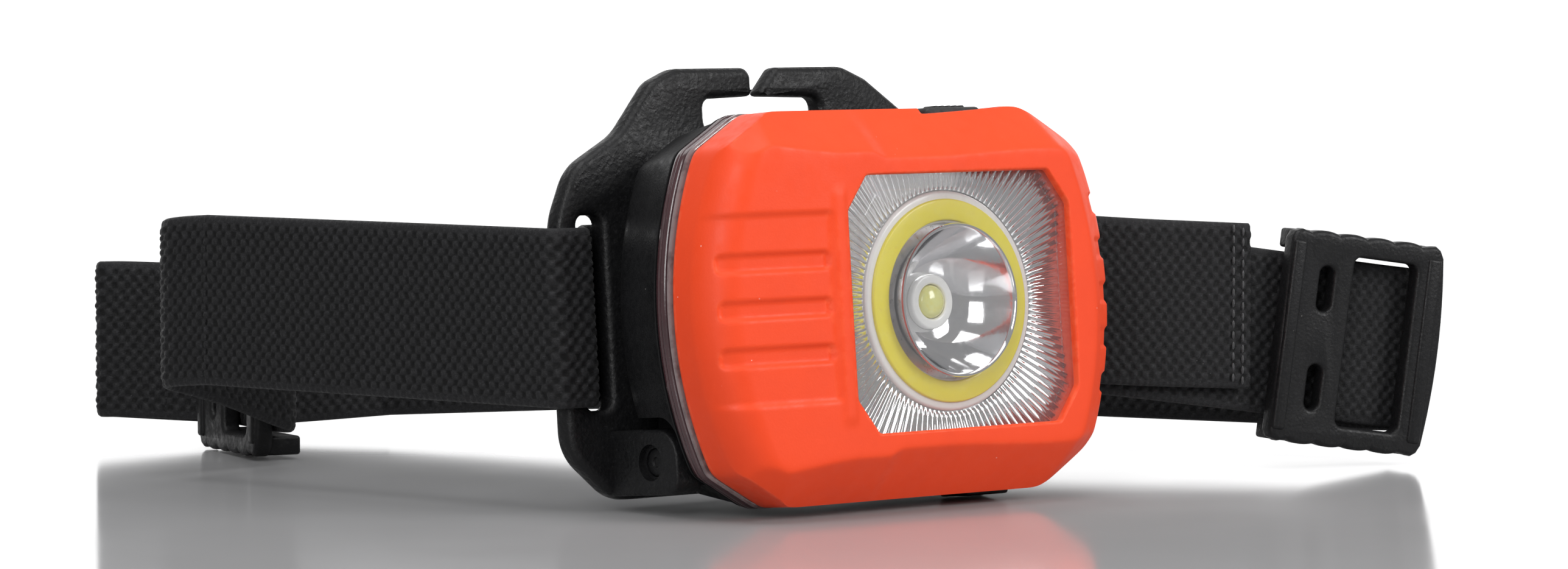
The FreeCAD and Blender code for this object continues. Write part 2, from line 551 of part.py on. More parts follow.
# ---------------------------------------------------------------- bracket and hinge
def make_bracket():
    """Plate behind the lamp: strap slots, a split top hook, and a hinge ear on each side."""
    body = new_body("tilt_bracket")
    half = [("bracket_foot_half", "- bracket_low"), ("bracket_half", "- bracket_corner_low"),
            ("bracket_half", "bracket_corner_high"), ("shoulder_out_x", "shoulder_out_z"),
            ("shoulder_in_x", "shoulder_in_z"), ("hook_neck_x", "hook_neck_z"), ("hook_half", "hook_top")]
    wide = [(x + " + right_extra", z) for x, z in half[:-2]] + half[-2:]
    outline = wide + [("- " + x, z) for x, z in reversed(half)]
    pad_back(body, outline, "bracket_front", "bracket_thickness")
    slot = box_corners("- hook_slot_half", "hook_slot_half", "hook_slot_low", "hook_slot_high")
    cut_back(body, slot, "bracket_front - overrun", "bracket_thickness + overrun + overrun")
    split = [("hook_cut_low", "hook_slot_high - overrun"),
             ("hook_cut_low + hook_cut_width", "hook_slot_high - overrun"),
             ("hook_cut_high + hook_cut_width", "hook_top + overrun"),
             ("hook_cut_high", "hook_top + overrun")]
    cut_back(body, split, "bracket_front - overrun", "bracket_thickness + overrun + overrun")
    for inside, outside in (("strap_slot_in + right_extra", "strap_slot_out + right_extra"),
                            ("- strap_slot_in", "- strap_slot_out")):
        strap = box_corners(inside, outside, "- strap_slot_low", "strap_slot_high")
        cut_back(body, strap, "bracket_front - overrun", "bracket_thickness + overrun + overrun")
    ear = [("ear_front + ear_cut", "- ear_low"), ("bracket_front", "- ear_low"),
           ("bracket_front", "- ear_high"), ("ear_front + ear_cut", "- ear_high"),
           ("ear_front", "- ear_high - ear_cut"), ("ear_front", "- ear_low + ear_cut")]
    for left in ("ear_inner + right_extra", "- ear_inner - ear_thickness"):
        side_step(body, ear, left, "ear_thickness")
        sketch = new_sketch(body, "YZ_Plane", left + " - overrun")
        draw_circle(sketch, "pin_y", "- pin_z", "pin_radius")
        extrude(body, sketch, "ear_thickness + overrun + overrun", cut=True, reverse=True)
    for left in ("pin_outer + right_extra", "- pin_outer - beyond"):
        sketch = new_sketch(body, "YZ_Plane", left)
        draw_circle(sketch, "pin_y", "- pin_z", "pin_recess")
        extrude(body, sketch, "beyond", cut=True, reverse=True)
    body.Placement = head_place()


def make_hinge_pins():
    for name, left in (("hinge_pin_right", "pin_outer + right_extra - pin_length"),
                       ("hinge_pin_left", "- pin_outer")):
        pin = doc.addObject("Part::Cylinder", name)
        pin.setExpression("Radius", bound("pin_radius"))
        pin.setExpression("Height", bound("pin_length"))
        along = Placement(Vector(), Rotation(Vector(0, 1, 0), 90))
        pin.Placement = head_place(number(left), number("pin_y"), -number("pin_z")).multiply(along)
        pin.Label = name


# ---------------------------------------------------------------- elastic band
# Each stop on a route: x and y from the lamp's axis, height of the band's middle above the surface,
# the radius of the bend there, and how much of the head's lean the band takes on.
FOREHEAD_ROUTE = [(-29.0, 36.2, 27.2, 0, 1), (0.0, 36.2, 27.2, 0, 1), (33.2, 36.2, 27.2, 0, 1)]
LEFT_ROUTE = [(-29.2, 36.2, 27.2, 0, 1), (-30.6, 36.2, 27.2, 0.9, 1), (-34.3, 30.3, 27.2, 1.0, 1),
              (-39.9, 30.5, 27.2, 1.6, 1), (-46.0, 62.0, 27.2, 30, 0.3), (-53.2, 97.0, 27.2, 0, 0)]
LEFT_FOLD_ROUTE = [(-53.25, 97.2, 27.2, 0, 0), (-55.5, 108.0, 26.6, 4.5, 0), (-40.0, 112.5, 22.5, 6, 0),
                   (-24.9, 116.2, 17.0, 3.5, 0), (-14.8, 154.2, 16.3, 6, 0), (-19.8, 159.3, 16.5, 0, 0)]
TAIL_ROUTE = [(-20.0, 159.5, 16.5, 0, 0), (-32.5, 172.2, 17.1, 3.0, 0), (-13.0, 164.6, 15.4, 20, 0),
              (0.0, 159.3, 14.4, 20, 0), (17.0, 152.0, 15.5, 0, 0)]
REAR_ROUTE = [(17.5, 151.3, 15.5, 0, 0), (40.0, 119.0, 17.5, 60, 0), (66.5, 80.0, 18.6, 60, 0),
              (100.0, 28.0, 17.6, 0, 0)]
RIGHT_ROUTE = [(100.15, 27.8, 17.6, 0, 0), (114.6, 6.3, 16.4, 3.4, 0), (62.0, 21.0, 24.0, 20, 0),
               (53.0, 24.15, 25.2, 0, 0)]
SEWN_ROUTE = [(33.4, 36.2, 27.2, 0, 1), (34.8, 36.2, 27.2, 0.9, 1), (38.5, 30.3, 27.2, 1.0, 1),
              (43.8, 30.0, 27.2, 1.6, 1), (48.2, 24.2, 27.0, 4, 0.0), (61.3, 18.9, 26.0, 20, 0.0),
              (78.5, 14.1, 25.0, 0, 0)]
BEND_STEPS = 6
MOST_OF_RUN = 0.48


def rounded_route(route):
    """The route's stops with every bend turned into short steps along its arc."""
    line = []
    for index, stop in enumerate(route):
        x, y, height, radius, lean = stop
        if not radius:
            line.append((x, y, height, lean))
            continue
        corner = Vector(x, y, 0)
        before = Vector(route[index - 1][0], route[index - 1][1], 0) - corner
        after = Vector(route[index + 1][0], route[index + 1][1], 0) - corner
        half_angle = before.getAngle(after) / 2
        shorter = min(before.Length, after.Length)
        reach = min(radius / math.tan(half_angle), shorter * MOST_OF_RUN)
        share_in = reach / before.Length
        share_out = reach / after.Length
        bisector = (before.normalize() + after.normalize()).normalize()
        crest = corner + bisector * (reach / math.cos(half_angle) - reach * math.tan(half_angle))
        arc = Part.Arc(corner + before * reach, crest, corner + after * reach)
        height_in = height + (route[index - 1][2] - height) * share_in
        height_out = height + (route[index + 1][2] - height) * share_out
        for step, point in enumerate(arc.toShape().discretize(BEND_STEPS + 1)):
            share = step / BEND_STEPS
            line.append((point.x, point.y, height_in + (height_out - height_in) * share, lean))
    return line


def make_band(name, route):
    """A flat band standing on edge: a closed skin through four corners at every step of its route."""
    line = rounded_route(route)
    origin = Vector(number("lamp_x"), number("lamp_y"), 0)
    half_width = number("band_width") / 2
    half_thick = number("band_thickness") / 2
    places = [Vector(x, y, 0) for x, y, height, lean in line]
    rings = []
    for index, (x, y, height, lean) in enumerate(line):
        ahead = (places[min(index + 1, len(places) - 1)] - places[index])
        behind = (places[index] - places[max(index - 1, 0)])
        ahead = ahead.normalize() if ahead.Length else behind.normalize()
        behind = behind.normalize() if behind.Length else ahead
        along = (ahead + behind).normalize()
        spread = 1.0 / math.sqrt((1 + ahead.dot(behind)) / 2)
        side = Vector(along.y, -along.x, 0) * (half_thick * spread)
        angle = math.radians(number("lean_angle") * lean)
        up = Vector(0, math.sin(angle), math.cos(angle)) * half_width
        middle = origin + Vector(x, y, height)
        rings.append([middle + side + up, middle - side + up, middle - side - up, middle + side - up])
    band = doc.addObject("Part::Feature", name)
    band.Shape = skin(name, rings)
    band.Placement = Placement()
    band.Label = name


# ---------------------------------------------------------------- sliders on the band
def make_slider(name, x, y, height, heading, slope):
    """Ladder slider: front face with slots, cheeks above and below the band, and a bar behind it."""
    body = new_body(name)
    half_x = "slider_half_x"
    face = cut_corner_box("- " + half_x, half_x, "slider_half_z", "slider_cut", "slider_cut")
    pad_back(body, face, "- slider_front", "slider_front - slider_face_back")
    for low, high in (("slider_cheek_z", "slider_half_z"), ("- slider_half_z", "- slider_cheek_z")):
        cheek = box_corners("- slider_cheek_x", "slider_cheek_x", low, high)
        pad_back(body, cheek, "- slider_face_back", "slider_face_back + slider_back")
    bar = box_corners("- slider_bar_left", "- slider_bar_right", "- slider_half_z", "slider_half_z")
    pad_back(body, bar, "slider_bar_front", "slider_back - slider_bar_front")
    slot = box_corners("- slider_slot_left", "slider_slot_right", "- slider_slot_half", "slider_slot_half")
    holes = [slot]
    for low, high in (("slider_hole_low", "slider_hole_high"), ("- slider_hole_high", "- slider_hole_low")):
        holes.append(box_corners("- slider_hole_x - slider_hole_half", "- slider_hole_x + slider_hole_half",
                                 low, high))
    for hole in holes:
        cut_back(body, hole, "- slider_front - overrun", "slider_front + overrun - slider_face_back")
    turn = Rotation(Vector(0, 0, 1), heading).multiply(Rotation(Vector(0, 1, 0), slope))
    base = Vector(number("lamp_x") + x, number("lamp_y") + y, height)
    body.Placement = Placement(base, turn)


make_front_bezel()
make_window_lens()
make_fluted_bowl()
make_lights()
make_seals()
make_rear_housing()
make_screws()
make_electronics()
make_power_button()
make_cells()
make_contact_springs()
make_bracket()
make_hinge_pins()
for band_name, band_route in (("band_forehead", FOREHEAD_ROUTE), ("band_left", LEFT_ROUTE),
                              ("band_left_fold", LEFT_FOLD_ROUTE), ("band_tail", TAIL_ROUTE),
                              ("band_rear", REAR_ROUTE), ("band_right", RIGHT_ROUTE),
                              ("band_sewn_end", SEWN_ROUTE)):
    make_band(band_name, band_route)
make_slider("slider_right", 97.0, 11.2, 18.95, -15.6, 7.9)
make_slider("slider_left", -19.85, 135.2, 16.6, 255.1, -1.0)
doc.recompute()

# ---------------------------------------------------------------- check every object, then write the nodes
NODES = ["front_bezel", "window_lens", "fluted_reflector", "ring_board", "ring_phosphor", "spot_reflector",
         "chip_collar", "spot_chip", "chip_board", "heat_plate", "seal_gasket", "seal_frame",
         "rear_housing", "housing_screws", "main_board", "button_switch", "power_button", "cell_left",
         "cell_middle", "cell_right", "upper_contact_strip", "lower_contact_strip", "contact_springs",
         "tilt_bracket", "hinge_pin_left", "hinge_pin_right", "band_forehead", "band_left",
         "band_left_fold", "band_tail", "band_rear", "band_right", "band_sewn_end", "slider_left",
         "slider_right"]
for item in doc.Objects:
    if "Invalid" in item.State or "Error" in item.State:
        raise RuntimeError(f"{item.Name} failed: {item.State}")
os.makedirs("parts", exist_ok=True)
whole = FreeCAD.BoundBox()
for node in NODES:
    found = [item for item in doc.Objects if item.Label == node]
    shape = found[0].Shape
    if len(found) != 1 or shape.isNull() or not shape.isValid():
        raise RuntimeError(f"{node} is missing, doubled or not a valid shape")
    shape.exportStep(f"parts/{node}.step")
    whole.add(shape.BoundBox)
    print(f"{node}: {len(shape.Solids)} solid, {shape.Volume:.1f} mm3")
corners = (whole.XMin, whole.XMax, whole.YMin, whole.YMax, whole.ZMin, whole.ZMax)
print("box", [round(value, 2) for value in corners])
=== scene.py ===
import json
import math

import bmesh
import bpy
import numpy as np
from mathutils import Matrix, Vector


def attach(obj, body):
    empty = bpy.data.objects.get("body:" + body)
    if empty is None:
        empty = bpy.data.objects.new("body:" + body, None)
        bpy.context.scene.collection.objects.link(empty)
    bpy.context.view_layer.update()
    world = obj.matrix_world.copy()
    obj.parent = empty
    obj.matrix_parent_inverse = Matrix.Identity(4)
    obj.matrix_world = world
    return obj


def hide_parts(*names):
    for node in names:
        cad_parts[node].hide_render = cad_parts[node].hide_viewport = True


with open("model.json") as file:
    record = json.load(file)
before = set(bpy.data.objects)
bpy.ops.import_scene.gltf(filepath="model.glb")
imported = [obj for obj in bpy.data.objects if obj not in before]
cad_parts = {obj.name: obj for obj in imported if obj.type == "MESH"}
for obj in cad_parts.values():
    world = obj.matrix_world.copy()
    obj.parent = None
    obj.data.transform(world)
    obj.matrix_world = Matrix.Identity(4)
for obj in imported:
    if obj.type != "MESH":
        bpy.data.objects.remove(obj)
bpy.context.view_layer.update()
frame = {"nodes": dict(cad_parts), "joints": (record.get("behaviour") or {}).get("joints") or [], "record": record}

MM = 0.001
joints = {joint["name"]: joint for joint in frame["joints"]}
mounts = {mount["name"]: mount for mount in frame["record"]["mounts"]}

# The lamp head's own frame, in millimetres: x right, y back from the bezel's front, z up from mid height.
HINGE = Vector((0, 23.0, -20.15))
back_axis = mounts["top_strap_hook"]["axis"]
LEAN = math.atan2(-back_axis[2], back_axis[1])
hinge_point = Vector(joints["head_tilt"]["pos_m"])
HEAD = Matrix.Translation(hinge_point) @ Matrix.Rotation(-LEAN, 4, "X") @ Matrix.Translation(-HINGE * MM)
# The band's frame, in millimetres: level, below the lamp's own axis, on the surface the headlamp stands on.
LAMP_X = HEAD.translation.x
LAMP_Y = HEAD.translation.y
TABLE = Matrix.Translation((LAMP_X, LAMP_Y, 0))


# ---------------------------------------------------------------- materials
class Look:
    """A procedural material: constants on the shader, and noises in millimetres over them."""

    def __init__(self, name, colour, roughness, **constants):
        self.material = bpy.data.materials.new(name)
        self.material.use_nodes = True
        self.tree = self.material.node_tree
        self.shader = self.tree.nodes["Principled BSDF"]
        self.place = self.tree.nodes.new("ShaderNodeTexCoord").outputs["Object"]
        self.shader.inputs["Base Color"].default_value = (*colour, 1)
        self.shader.inputs["Roughness"].default_value = roughness
        self.colour = None
        self.last_bump = None
        for name, amount in constants.items():
            self.shader.inputs[name.replace("_", " ")].default_value = amount

    def node(self, kind, **inputs):
        made = self.tree.nodes.new("ShaderNode" + kind)
        for name, value in inputs.items():
            self.connect(value, made.inputs[name])
        return made

    def connect(self, value, socket):
        if isinstance(value, bpy.types.NodeSocket):
            self.tree.links.new(value, socket)
        else:
            socket.default_value = value

    def stretched(self, attribute, along, across):
        """A mesh's own coordinates, scaled so that one unit is a grain of that size in millimetres."""
        source = self.tree.nodes.new("ShaderNodeAttribute")
        source.attribute_name = attribute
        made = self.node("Mapping", Vector=source.outputs["Vector"], Scale=(1 / along, 1 / across, 1))
        return made.outputs["Vector"]

    def noise(self, grain, detail=3.0, vector=None):
        made = self.node("TexNoise", Vector=vector or self.place, Detail=detail, Roughness=0.6)
        made.inputs["Scale"].default_value = 1.0 if vector else 1 / (grain * MM)
        return made.outputs["Fac"]

    def cells(self, grain, output="Distance"):
        made = self.node("TexVoronoi", Vector=self.place, Scale=1 / (grain * MM))
        return made.outputs[output]

    def ramp(self, value, low, high, start=0.0, end=1.0):
        made = self.tree.nodes.new("ShaderNodeMapRange")
        made.interpolation_type = "SMOOTHSTEP"
        self.tree.links.new(value, made.inputs["Value"])
        for name, amount in (("From Min", low), ("From Max", high), ("To Min", start), ("To Max", end)):
            made.inputs[name].default_value = amount
        return made.outputs["Result"]

    def both(self, one, other):
        made = self.tree.nodes.new("ShaderNodeMath")
        made.operation = "MULTIPLY"
        self.tree.links.new(one, made.inputs[0])
        self.tree.links.new(other, made.inputs[1])
        return made.outputs[0]

    def tint(self, factor, colour):
        """Paint colour over what is there, where factor says."""
        made = self.tree.nodes.new("ShaderNodeMix")
        made.data_type = "RGBA"
        self.tree.links.new(factor, made.inputs["Factor"])
        if self.colour:
            self.tree.links.new(self.colour, made.inputs["A"])
        else:
            made.inputs["A"].default_value = self.shader.inputs["Base Color"].default_value
        made.inputs["B"].default_value = (*colour, 1)
        self.colour = made.outputs["Result"]
        self.tree.links.new(self.colour, self.shader.inputs["Base Color"])
        return self

    def rough(self, factor, low, high):
        self.tree.links.new(self.ramp(factor, 0.3, 0.7, low, high), self.shader.inputs["Roughness"])
        return self

    def bump(self, height, depth):
        """Raise the surface by depth in millimetres where height is 1."""
        made = self.node("Bump", Height=height, Distance=depth * MM, Strength=1.0)
        if self.last_bump:
            self.tree.links.new(self.last_bump, made.inputs["Normal"])
        self.last_bump = made.outputs["Normal"]
        self.tree.links.new(self.last_bump, self.shader.inputs["Normal"])
        return self


def orange_shell():
    look = Look("orange_shell", (0.78, 0.06, 0.012), 0.5, Specular_IOR_Level=0.26)
    look.tint(look.ramp(look.noise(9.0), 0.35, 0.75, 0.0, 0.35), (0.7, 0.05, 0.011))
    look.tint(look.ramp(look.noise(0.5), 0.62, 0.75, 0.0, 0.14), (0.9, 0.1, 0.035))
    dust = look.both(look.ramp(look.cells(1.9), 0.075, 0.045), look.ramp(look.noise(6.0), 0.56, 0.66))
    look.tint(look.both(dust, look.ramp(look.noise(1.1), 0.45, 0.6, 0.0, 0.8)), (0.9, 0.62, 0.55))
    worn = look.tree.nodes.new("ShaderNodeAttribute")
    worn.attribute_name = "crease"
    scuffed = look.both(worn.outputs["Fac"], look.ramp(look.noise(1.4), 0.4, 0.62, 0.0, 0.25))
    look.tint(scuffed, (0.9, 0.16, 0.07))
    look.rough(look.noise(2.5), 0.42, 0.56)
    return look.bump(look.noise(0.28, 2.0), 0.012).bump(look.noise(2.2), 0.012).material


def black_plastic(name="black_plastic", grain=0.42, depth=0.05):
    look = Look(name, (0.006, 0.006, 0.0065), 0.45, Specular_IOR_Level=0.24)
    look.tint(look.ramp(look.noise(grain * 0.8), 0.56, 0.7, 0.0, 0.6), (0.017, 0.017, 0.018))
    look.tint(look.ramp(look.noise(14.0), 0.5, 0.8, 0.0, 0.6), (0.009, 0.009, 0.01))
    dust = look.both(look.ramp(look.cells(2.3), 0.06, 0.035),
                     look.ramp(look.noise(7.0), 0.55, 0.66, 0.0, 0.5))
    look.tint(dust, (0.3, 0.29, 0.27))
    look.rough(look.noise(1.2), 0.36, 0.54)
    return look.bump(look.noise(grain, 2.5), depth).bump(look.cells(grain * 1.3), depth * 0.5).material


def black_elastic():
    look = Look("black_elastic", (0.011, 0.011, 0.012), 0.6, Sheen_Weight=0.06, Sheen_Roughness=0.45,
                Specular_IOR_Level=0.22)
    look.tint(look.ramp(look.noise(0.45), 0.5, 0.72, 0.0, 0.7), (0.028, 0.028, 0.031))
    look.tint(look.ramp(look.noise(12.0), 0.5, 0.75, 0.0, 0.5), (0.017, 0.017, 0.019))
    # Painted shade: the weave's low places between the stitches are darkened toward near black.
    relief = look.tree.nodes.new("ShaderNodeAttribute")
    relief.attribute_name = "relief"
    look.tint(look.ramp(relief.outputs["Fac"], 0.1, 0.6, 0.92, 0.0), (0.0015, 0.0015, 0.0018))
    lint = look.both(look.ramp(look.cells(1.7), 0.06, 0.03), look.ramp(look.noise(5.0), 0.55, 0.65, 0.0, 0.4))
    look.tint(lint, (0.32, 0.32, 0.32))
    look.rough(look.noise(0.6), 0.5, 0.72)
    threads = look.noise(1.0, 2.0, look.stretched("threads", 0.5, 0.09))
    return look.bump(threads, 0.11).bump(look.noise(0.16, 2.0), 0.03).material


def clear_lens():
    look = Look("clear_lens", (0.24, 0.24, 0.25), 0.02, IOR=1.46, Coat_Weight=1.0, Coat_Roughness=0.01,
                Alpha=0.15)
    look.tint(look.ramp(look.noise(8.0), 0.5, 0.8, 0.0, 0.5), (0.3, 0.28, 0.3))
    look.rough(look.noise(6.0), 0.01, 0.035)
    return look.bump(look.noise(5.0), 0.004).material


def mirror_chrome():
    look = Look("mirror_chrome", (0.9, 0.9, 0.91), 0.06, Metallic=1.0)
    look.tint(look.ramp(look.noise(3.0), 0.5, 0.8, 0.0, 0.3), (0.78, 0.78, 0.8))
    look.rough(look.noise(1.6), 0.04, 0.11)
    return look.bump(look.noise(2.4), 0.01).material


def white_board():
    look = Look("white_board", (0.88, 0.88, 0.86), 0.3, Coat_Weight=0.5, Coat_Roughness=0.08)
    look.tint(look.ramp(look.noise(3.0), 0.5, 0.8, 0.0, 0.5), (0.78, 0.78, 0.74))
    look.rough(look.noise(1.5), 0.24, 0.36)
    return look.bump(look.noise(0.4), 0.008).material


def yellow_phosphor():
    look = Look("yellow_phosphor", (0.98, 0.84, 0.012), 0.38, Coat_Weight=0.35, Coat_Roughness=0.12,
                Subsurface_Weight=0.1)
    look.tint(look.ramp(look.noise(2.2), 0.45, 0.75, 0.0, 0.55), (0.98, 0.86, 0.08))
    look.tint(look.ramp(look.cells(1.5), 0.16, 0.08, 0.0, 0.35), (0.88, 0.62, 0.01))
    look.rough(look.noise(0.8), 0.3, 0.46)
    return look.bump(look.noise(1.3), 0.04).bump(look.cells(1.5), 0.03).material


def chip_silicone():
    look = Look("chip_silicone", (0.97, 0.88, 0.3), 0.12, Coat_Weight=1.0, Coat_Roughness=0.03,
                Subsurface_Weight=0.2)
    look.tint(look.ramp(look.noise(0.9), 0.45, 0.7, 0.0, 0.6), (0.98, 0.8, 0.16))
    look.rough(look.noise(0.6), 0.08, 0.2)
    return look.bump(look.noise(0.5), 0.01).material


def smoky_plastic():
    look = Look("smoky_plastic", (0.06, 0.024, 0.028), 0.2, Transmission_Weight=0.1, Coat_Weight=0.4,
                Coat_Roughness=0.06, IOR=1.5)
    look.tint(look.ramp(look.noise(6.0), 0.4, 0.75, 0.0, 0.6), (0.035, 0.015, 0.017))
    look.tint(look.ramp(look.noise(0.7), 0.66, 0.74, 0.0, 0.3), (0.2, 0.12, 0.12))
    look.rough(look.noise(1.5), 0.1, 0.26)
    return look.bump(look.noise(1.2), 0.03).material


def clear_lip():
    look = Look("clear_lip", (0.3, 0.23, 0.23), 0.1, Transmission_Weight=0.3, Coat_Weight=1.0,
                Coat_Roughness=0.04, IOR=1.5)
    look.tint(look.ramp(look.noise(2.5), 0.42, 0.7, 0.0, 0.8), (0.1, 0.06, 0.06))
    look.rough(look.noise(1.0), 0.06, 0.22)
    return look.bump(look.noise(0.9), 0.03).material


def black_rubber():
    look = Look("black_rubber", (0.016, 0.016, 0.017), 0.7)
    look.tint(look.ramp(look.noise(0.6), 0.5, 0.75, 0.0, 0.5), (0.032, 0.032, 0.034))
    look.rough(look.noise(1.0), 0.6, 0.8)
    return look.bump(look.noise(0.3), 0.02).material


def metal(name, colour, roughness):
    look = Look(name, colour, roughness, Metallic=1.0)
    look.tint(look.ramp(look.noise(2.0), 0.4, 0.75, 0.0, 0.4), tuple(part * 0.75 for part in colour))
    look.rough(look.noise(1.0), roughness * 0.7, roughness * 1.4)
    return look.bump(look.noise(0.3), 0.01).material


def green_board():
    look = Look("green_board", (0.012, 0.14, 0.045), 0.35, Coat_Weight=0.4)
    look.tint(look.ramp(look.cells(3.0), 0.3, 0.5, 0.0, 0.6), (0.02, 0.24, 0.08))
    look.rough(look.noise(1.0), 0.28, 0.45)
    return look.bump(look.cells(3.0), 0.02).material


def cell_jacket():
    look = Look("cell_jacket", (0.05, 0.055, 0.065), 0.3, Coat_Weight=0.5)
    look.tint(look.ramp(look.noise(7.0), 0.45, 0.7, 0.0, 0.6), (0.09, 0.1, 0.12))
    look.rough(look.noise(1.5), 0.22, 0.4)
    return look.bump(look.noise(1.5), 0.01).material


LOOKS = {
    "orange_shell": orange_shell(), "clear_lens": clear_lens(), "mirror_chrome": mirror_chrome(),
    "white_board": white_board(), "yellow_phosphor": yellow_phosphor(), "smoky_plastic": smoky_plastic(),
    "black_plastic": black_plastic(), "black_rubber": black_rubber(), "green_board": green_board(),
    "steel": metal("steel", (0.56, 0.55, 0.53), 0.3), "cell_jacket": cell_jacket(),
    "bare_aluminium": metal("bare_aluminium", (0.75, 0.75, 0.76), 0.35), "black_elastic": black_elastic(),
}


# ---------------------------------------------------------------- meshes and pieces
def wound_mesh(name, rings, join_ends=False):
    """A closed mesh through a row of closed rings: the ends are capped, or joined to each other."""
    rings = np.asarray(rings, float)
    rows, count = rings.shape[:2]
    here = np.arange(count)
    ahead = (here + 1) % count
    faces = []
    for row in range(rows if join_ends else rows - 1):
        low = row * count
        high = ((row + 1) % rows) * count
        faces += np.stack([low + here, low + ahead, high + ahead, high + here], 1).tolist()
    if not join_ends:
        faces.append(here[::-1].tolist())
        faces.append(((rows - 1) * count + here).tolist())
    mesh = bpy.data.meshes.new(name)
    mesh.from_pydata(rings.reshape(-1, 3).tolist(), [], faces)
    return tidy_mesh(mesh)


def tidy_mesh(mesh, merge=0.0):
    """Merge doubled points if asked, and turn every face outwards."""
    shell = bmesh.new()
    shell.from_mesh(mesh)
    if merge:
        bmesh.ops.remove_doubles(shell, verts=shell.verts, dist=merge)
        bmesh.ops.dissolve_degenerate(shell, dist=merge * 0.1, edges=shell.edges)
    bmesh.ops.recalc_face_normals(shell, faces=shell.faces)
    shell.to_mesh(mesh)
    shell.free()
    mesh.update()
    return mesh


def turned_mesh(name, profile, segments=128, join_ends=True, middle_x=0.0):
    """A ring turned about the y axis through middle_x; the profile is pairs of radius and depth."""
    angles = np.linspace(0, math.tau, segments, endpoint=False)
    rings = []
    for radius, depth in profile:
        rings.append(np.stack([middle_x + radius * np.cos(angles), np.full(segments, depth),
                               radius * np.sin(angles)], 1))
    return wound_mesh(name, rings, join_ends)


def round_box(name, low, high, radius, segments=4):
    """A block with every edge rounded."""
    block = bmesh.new()
    bmesh.ops.create_cube(block, size=1.0)
    low = Vector(low)
    high = Vector(high)
    for vert in block.verts:
        vert.co = Vector(low[i] + (high[i] - low[i]) * (vert.co[i] + 0.5) for i in range(3))
    bmesh.ops.bevel(block, geom=block.edges[:], offset=radius, segments=segments, profile=0.5,
                    affect="EDGES", clamp_overlap=True)
    mesh = bpy.data.meshes.new(name)
    block.to_mesh(mesh)
    block.free()
    return tidy_mesh(mesh)


def combined(mesh, tools, operation):
    """The mesh with tool meshes added ("UNION") or taken away ("DIFFERENCE")."""
    base = bpy.data.objects.new("base", mesh)
    bpy.context.scene.collection.objects.link(base)
    made = [base]
    for tool in tools:
        cutter = bpy.data.objects.new("tool", tool)
        bpy.context.scene.collection.objects.link(cutter)
        made.append(cutter)
        step = base.modifiers.new("step", "BOOLEAN")
        step.object = cutter
        step.operation = operation
        step.solver = "EXACT"
    bpy.context.view_layer.update()
    graph = bpy.context.evaluated_depsgraph_get()
    result = bpy.data.meshes.new_from_object(base.evaluated_get(graph))
    for item in made:
        bpy.data.objects.remove(item)
    return tidy_mesh(result)


def add_piece(name, mesh, place, looks, body, nodes=(), sharp=35.0):
    """Put a mesh drawn in millimetres at its place, with its material, on its body."""
    mesh.transform(place @ Matrix.Scale(MM, 4))
    mesh.materials.clear()
    for look in looks:
        mesh.materials.append(look)
    mesh.shade_smooth()
    mesh.set_sharp_from_angle(angle=math.radians(sharp))
    piece = bpy.data.objects.new(name, mesh)
    bpy.context.scene.collection.objects.link(piece)
    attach(piece, body)
    if nodes:
        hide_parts(*nodes)
    return piece


def soft_step(amount, width):
    """0 below nothing, 1 above width, smooth between."""
    share = np.clip(amount / width, 0, 1)
    return share * share * (3 - 2 * share)


def soft_max(one, other, width=0.3):
    return 0.5 * (one + other + np.sqrt((one - other) ** 2 + width ** 2))


# ---------------------------------------------------------------- the lamp's outlines
EDGE_SAMPLES = (100, 28, 126, 28, 100, 28, 126, 28)


def eight_sided(left, right, half_height, cut_x, cut_z, side_radius=None, passes=10, density=1):
    """Points round an eight-cornered outline in x and z, from its top left corner clockwise."""
    shoulder = half_height - cut_z
    corners = [(left + cut_x, half_height), (right - cut_x, half_height), (right, shoulder),
               (right, -shoulder), (right - cut_x, -half_height), (left + cut_x, -half_height),
               (left, -shoulder), (left, shoulder)]
    points = []
    for index, samples in enumerate(EDGE_SAMPLES):
        start = np.array(corners[index])
        finish = np.array(corners[(index + 1) % 8])
        share = np.linspace(0, 1, samples * density, endpoint=False)[:, None]
        edge = start + (finish - start) * share
        if side_radius and index in (2, 6):
            reach = math.sqrt(side_radius ** 2 - shoulder ** 2)
            edge[:, 0] += np.sign(edge[:, 0]) * (np.sqrt(side_radius ** 2 - edge[:, 1] ** 2) - reach)
        points.append(edge)
    loop = np.concatenate(points)
    for _ in range(passes):
        loop = (np.roll(loop, 1, 0) + 2 * loop + np.roll(loop, -1, 0)) / 4
    return loop


def at_depth(loop, depth):
    return np.stack([loop[:, 0], np.full(len(loop), depth) if np.isscalar(depth) else depth, loop[:, 1]], 1)


SIDE_RADIUS = 52.0
SHOULDER = 29.5
RIGHT_EXTRA = 4.2


def body_loop(proud=0.0):
    """The lamp's outline moved outwards; its right half stands further out than its left."""
    reach = SHOULDER + 0.773 * proud
    return eight_sided(-reach, reach + RIGHT_EXTRA, 27.2 + proud, 8.5 + 0.501 * proud, 5.0 + 0.294 * proud,
                       SIDE_RADIUS + proud)


def window_loop(proud=0.0, density=1):
    """The window's outline moved outwards."""
    return eight_sided(-11.9 - proud, 29.3 + proud, 17.85 + proud, 3.7 + 0.502 * proud,
                       4.9 + 0.665 * proud, passes=3, density=density)


BODY = body_loop()
INSIDE = body_loop(-2.2)
WINDOW = window_loop()
SEAT = window_loop(1.1)
RING_X = 9.8
GRIP_PITCH = 6.4
GRIP_X = -24.0
BUTTON_X = 14.4
BUTTON_Y = 8.9


# ---------------------------------------------------------------- front bezel
def rounded_edge(distance, radius):
    """Depth of a rounded edge at a distance in from it."""
    reach = np.clip(radius - distance, 0, radius)
    return radius - np.sqrt(radius ** 2 - reach ** 2)


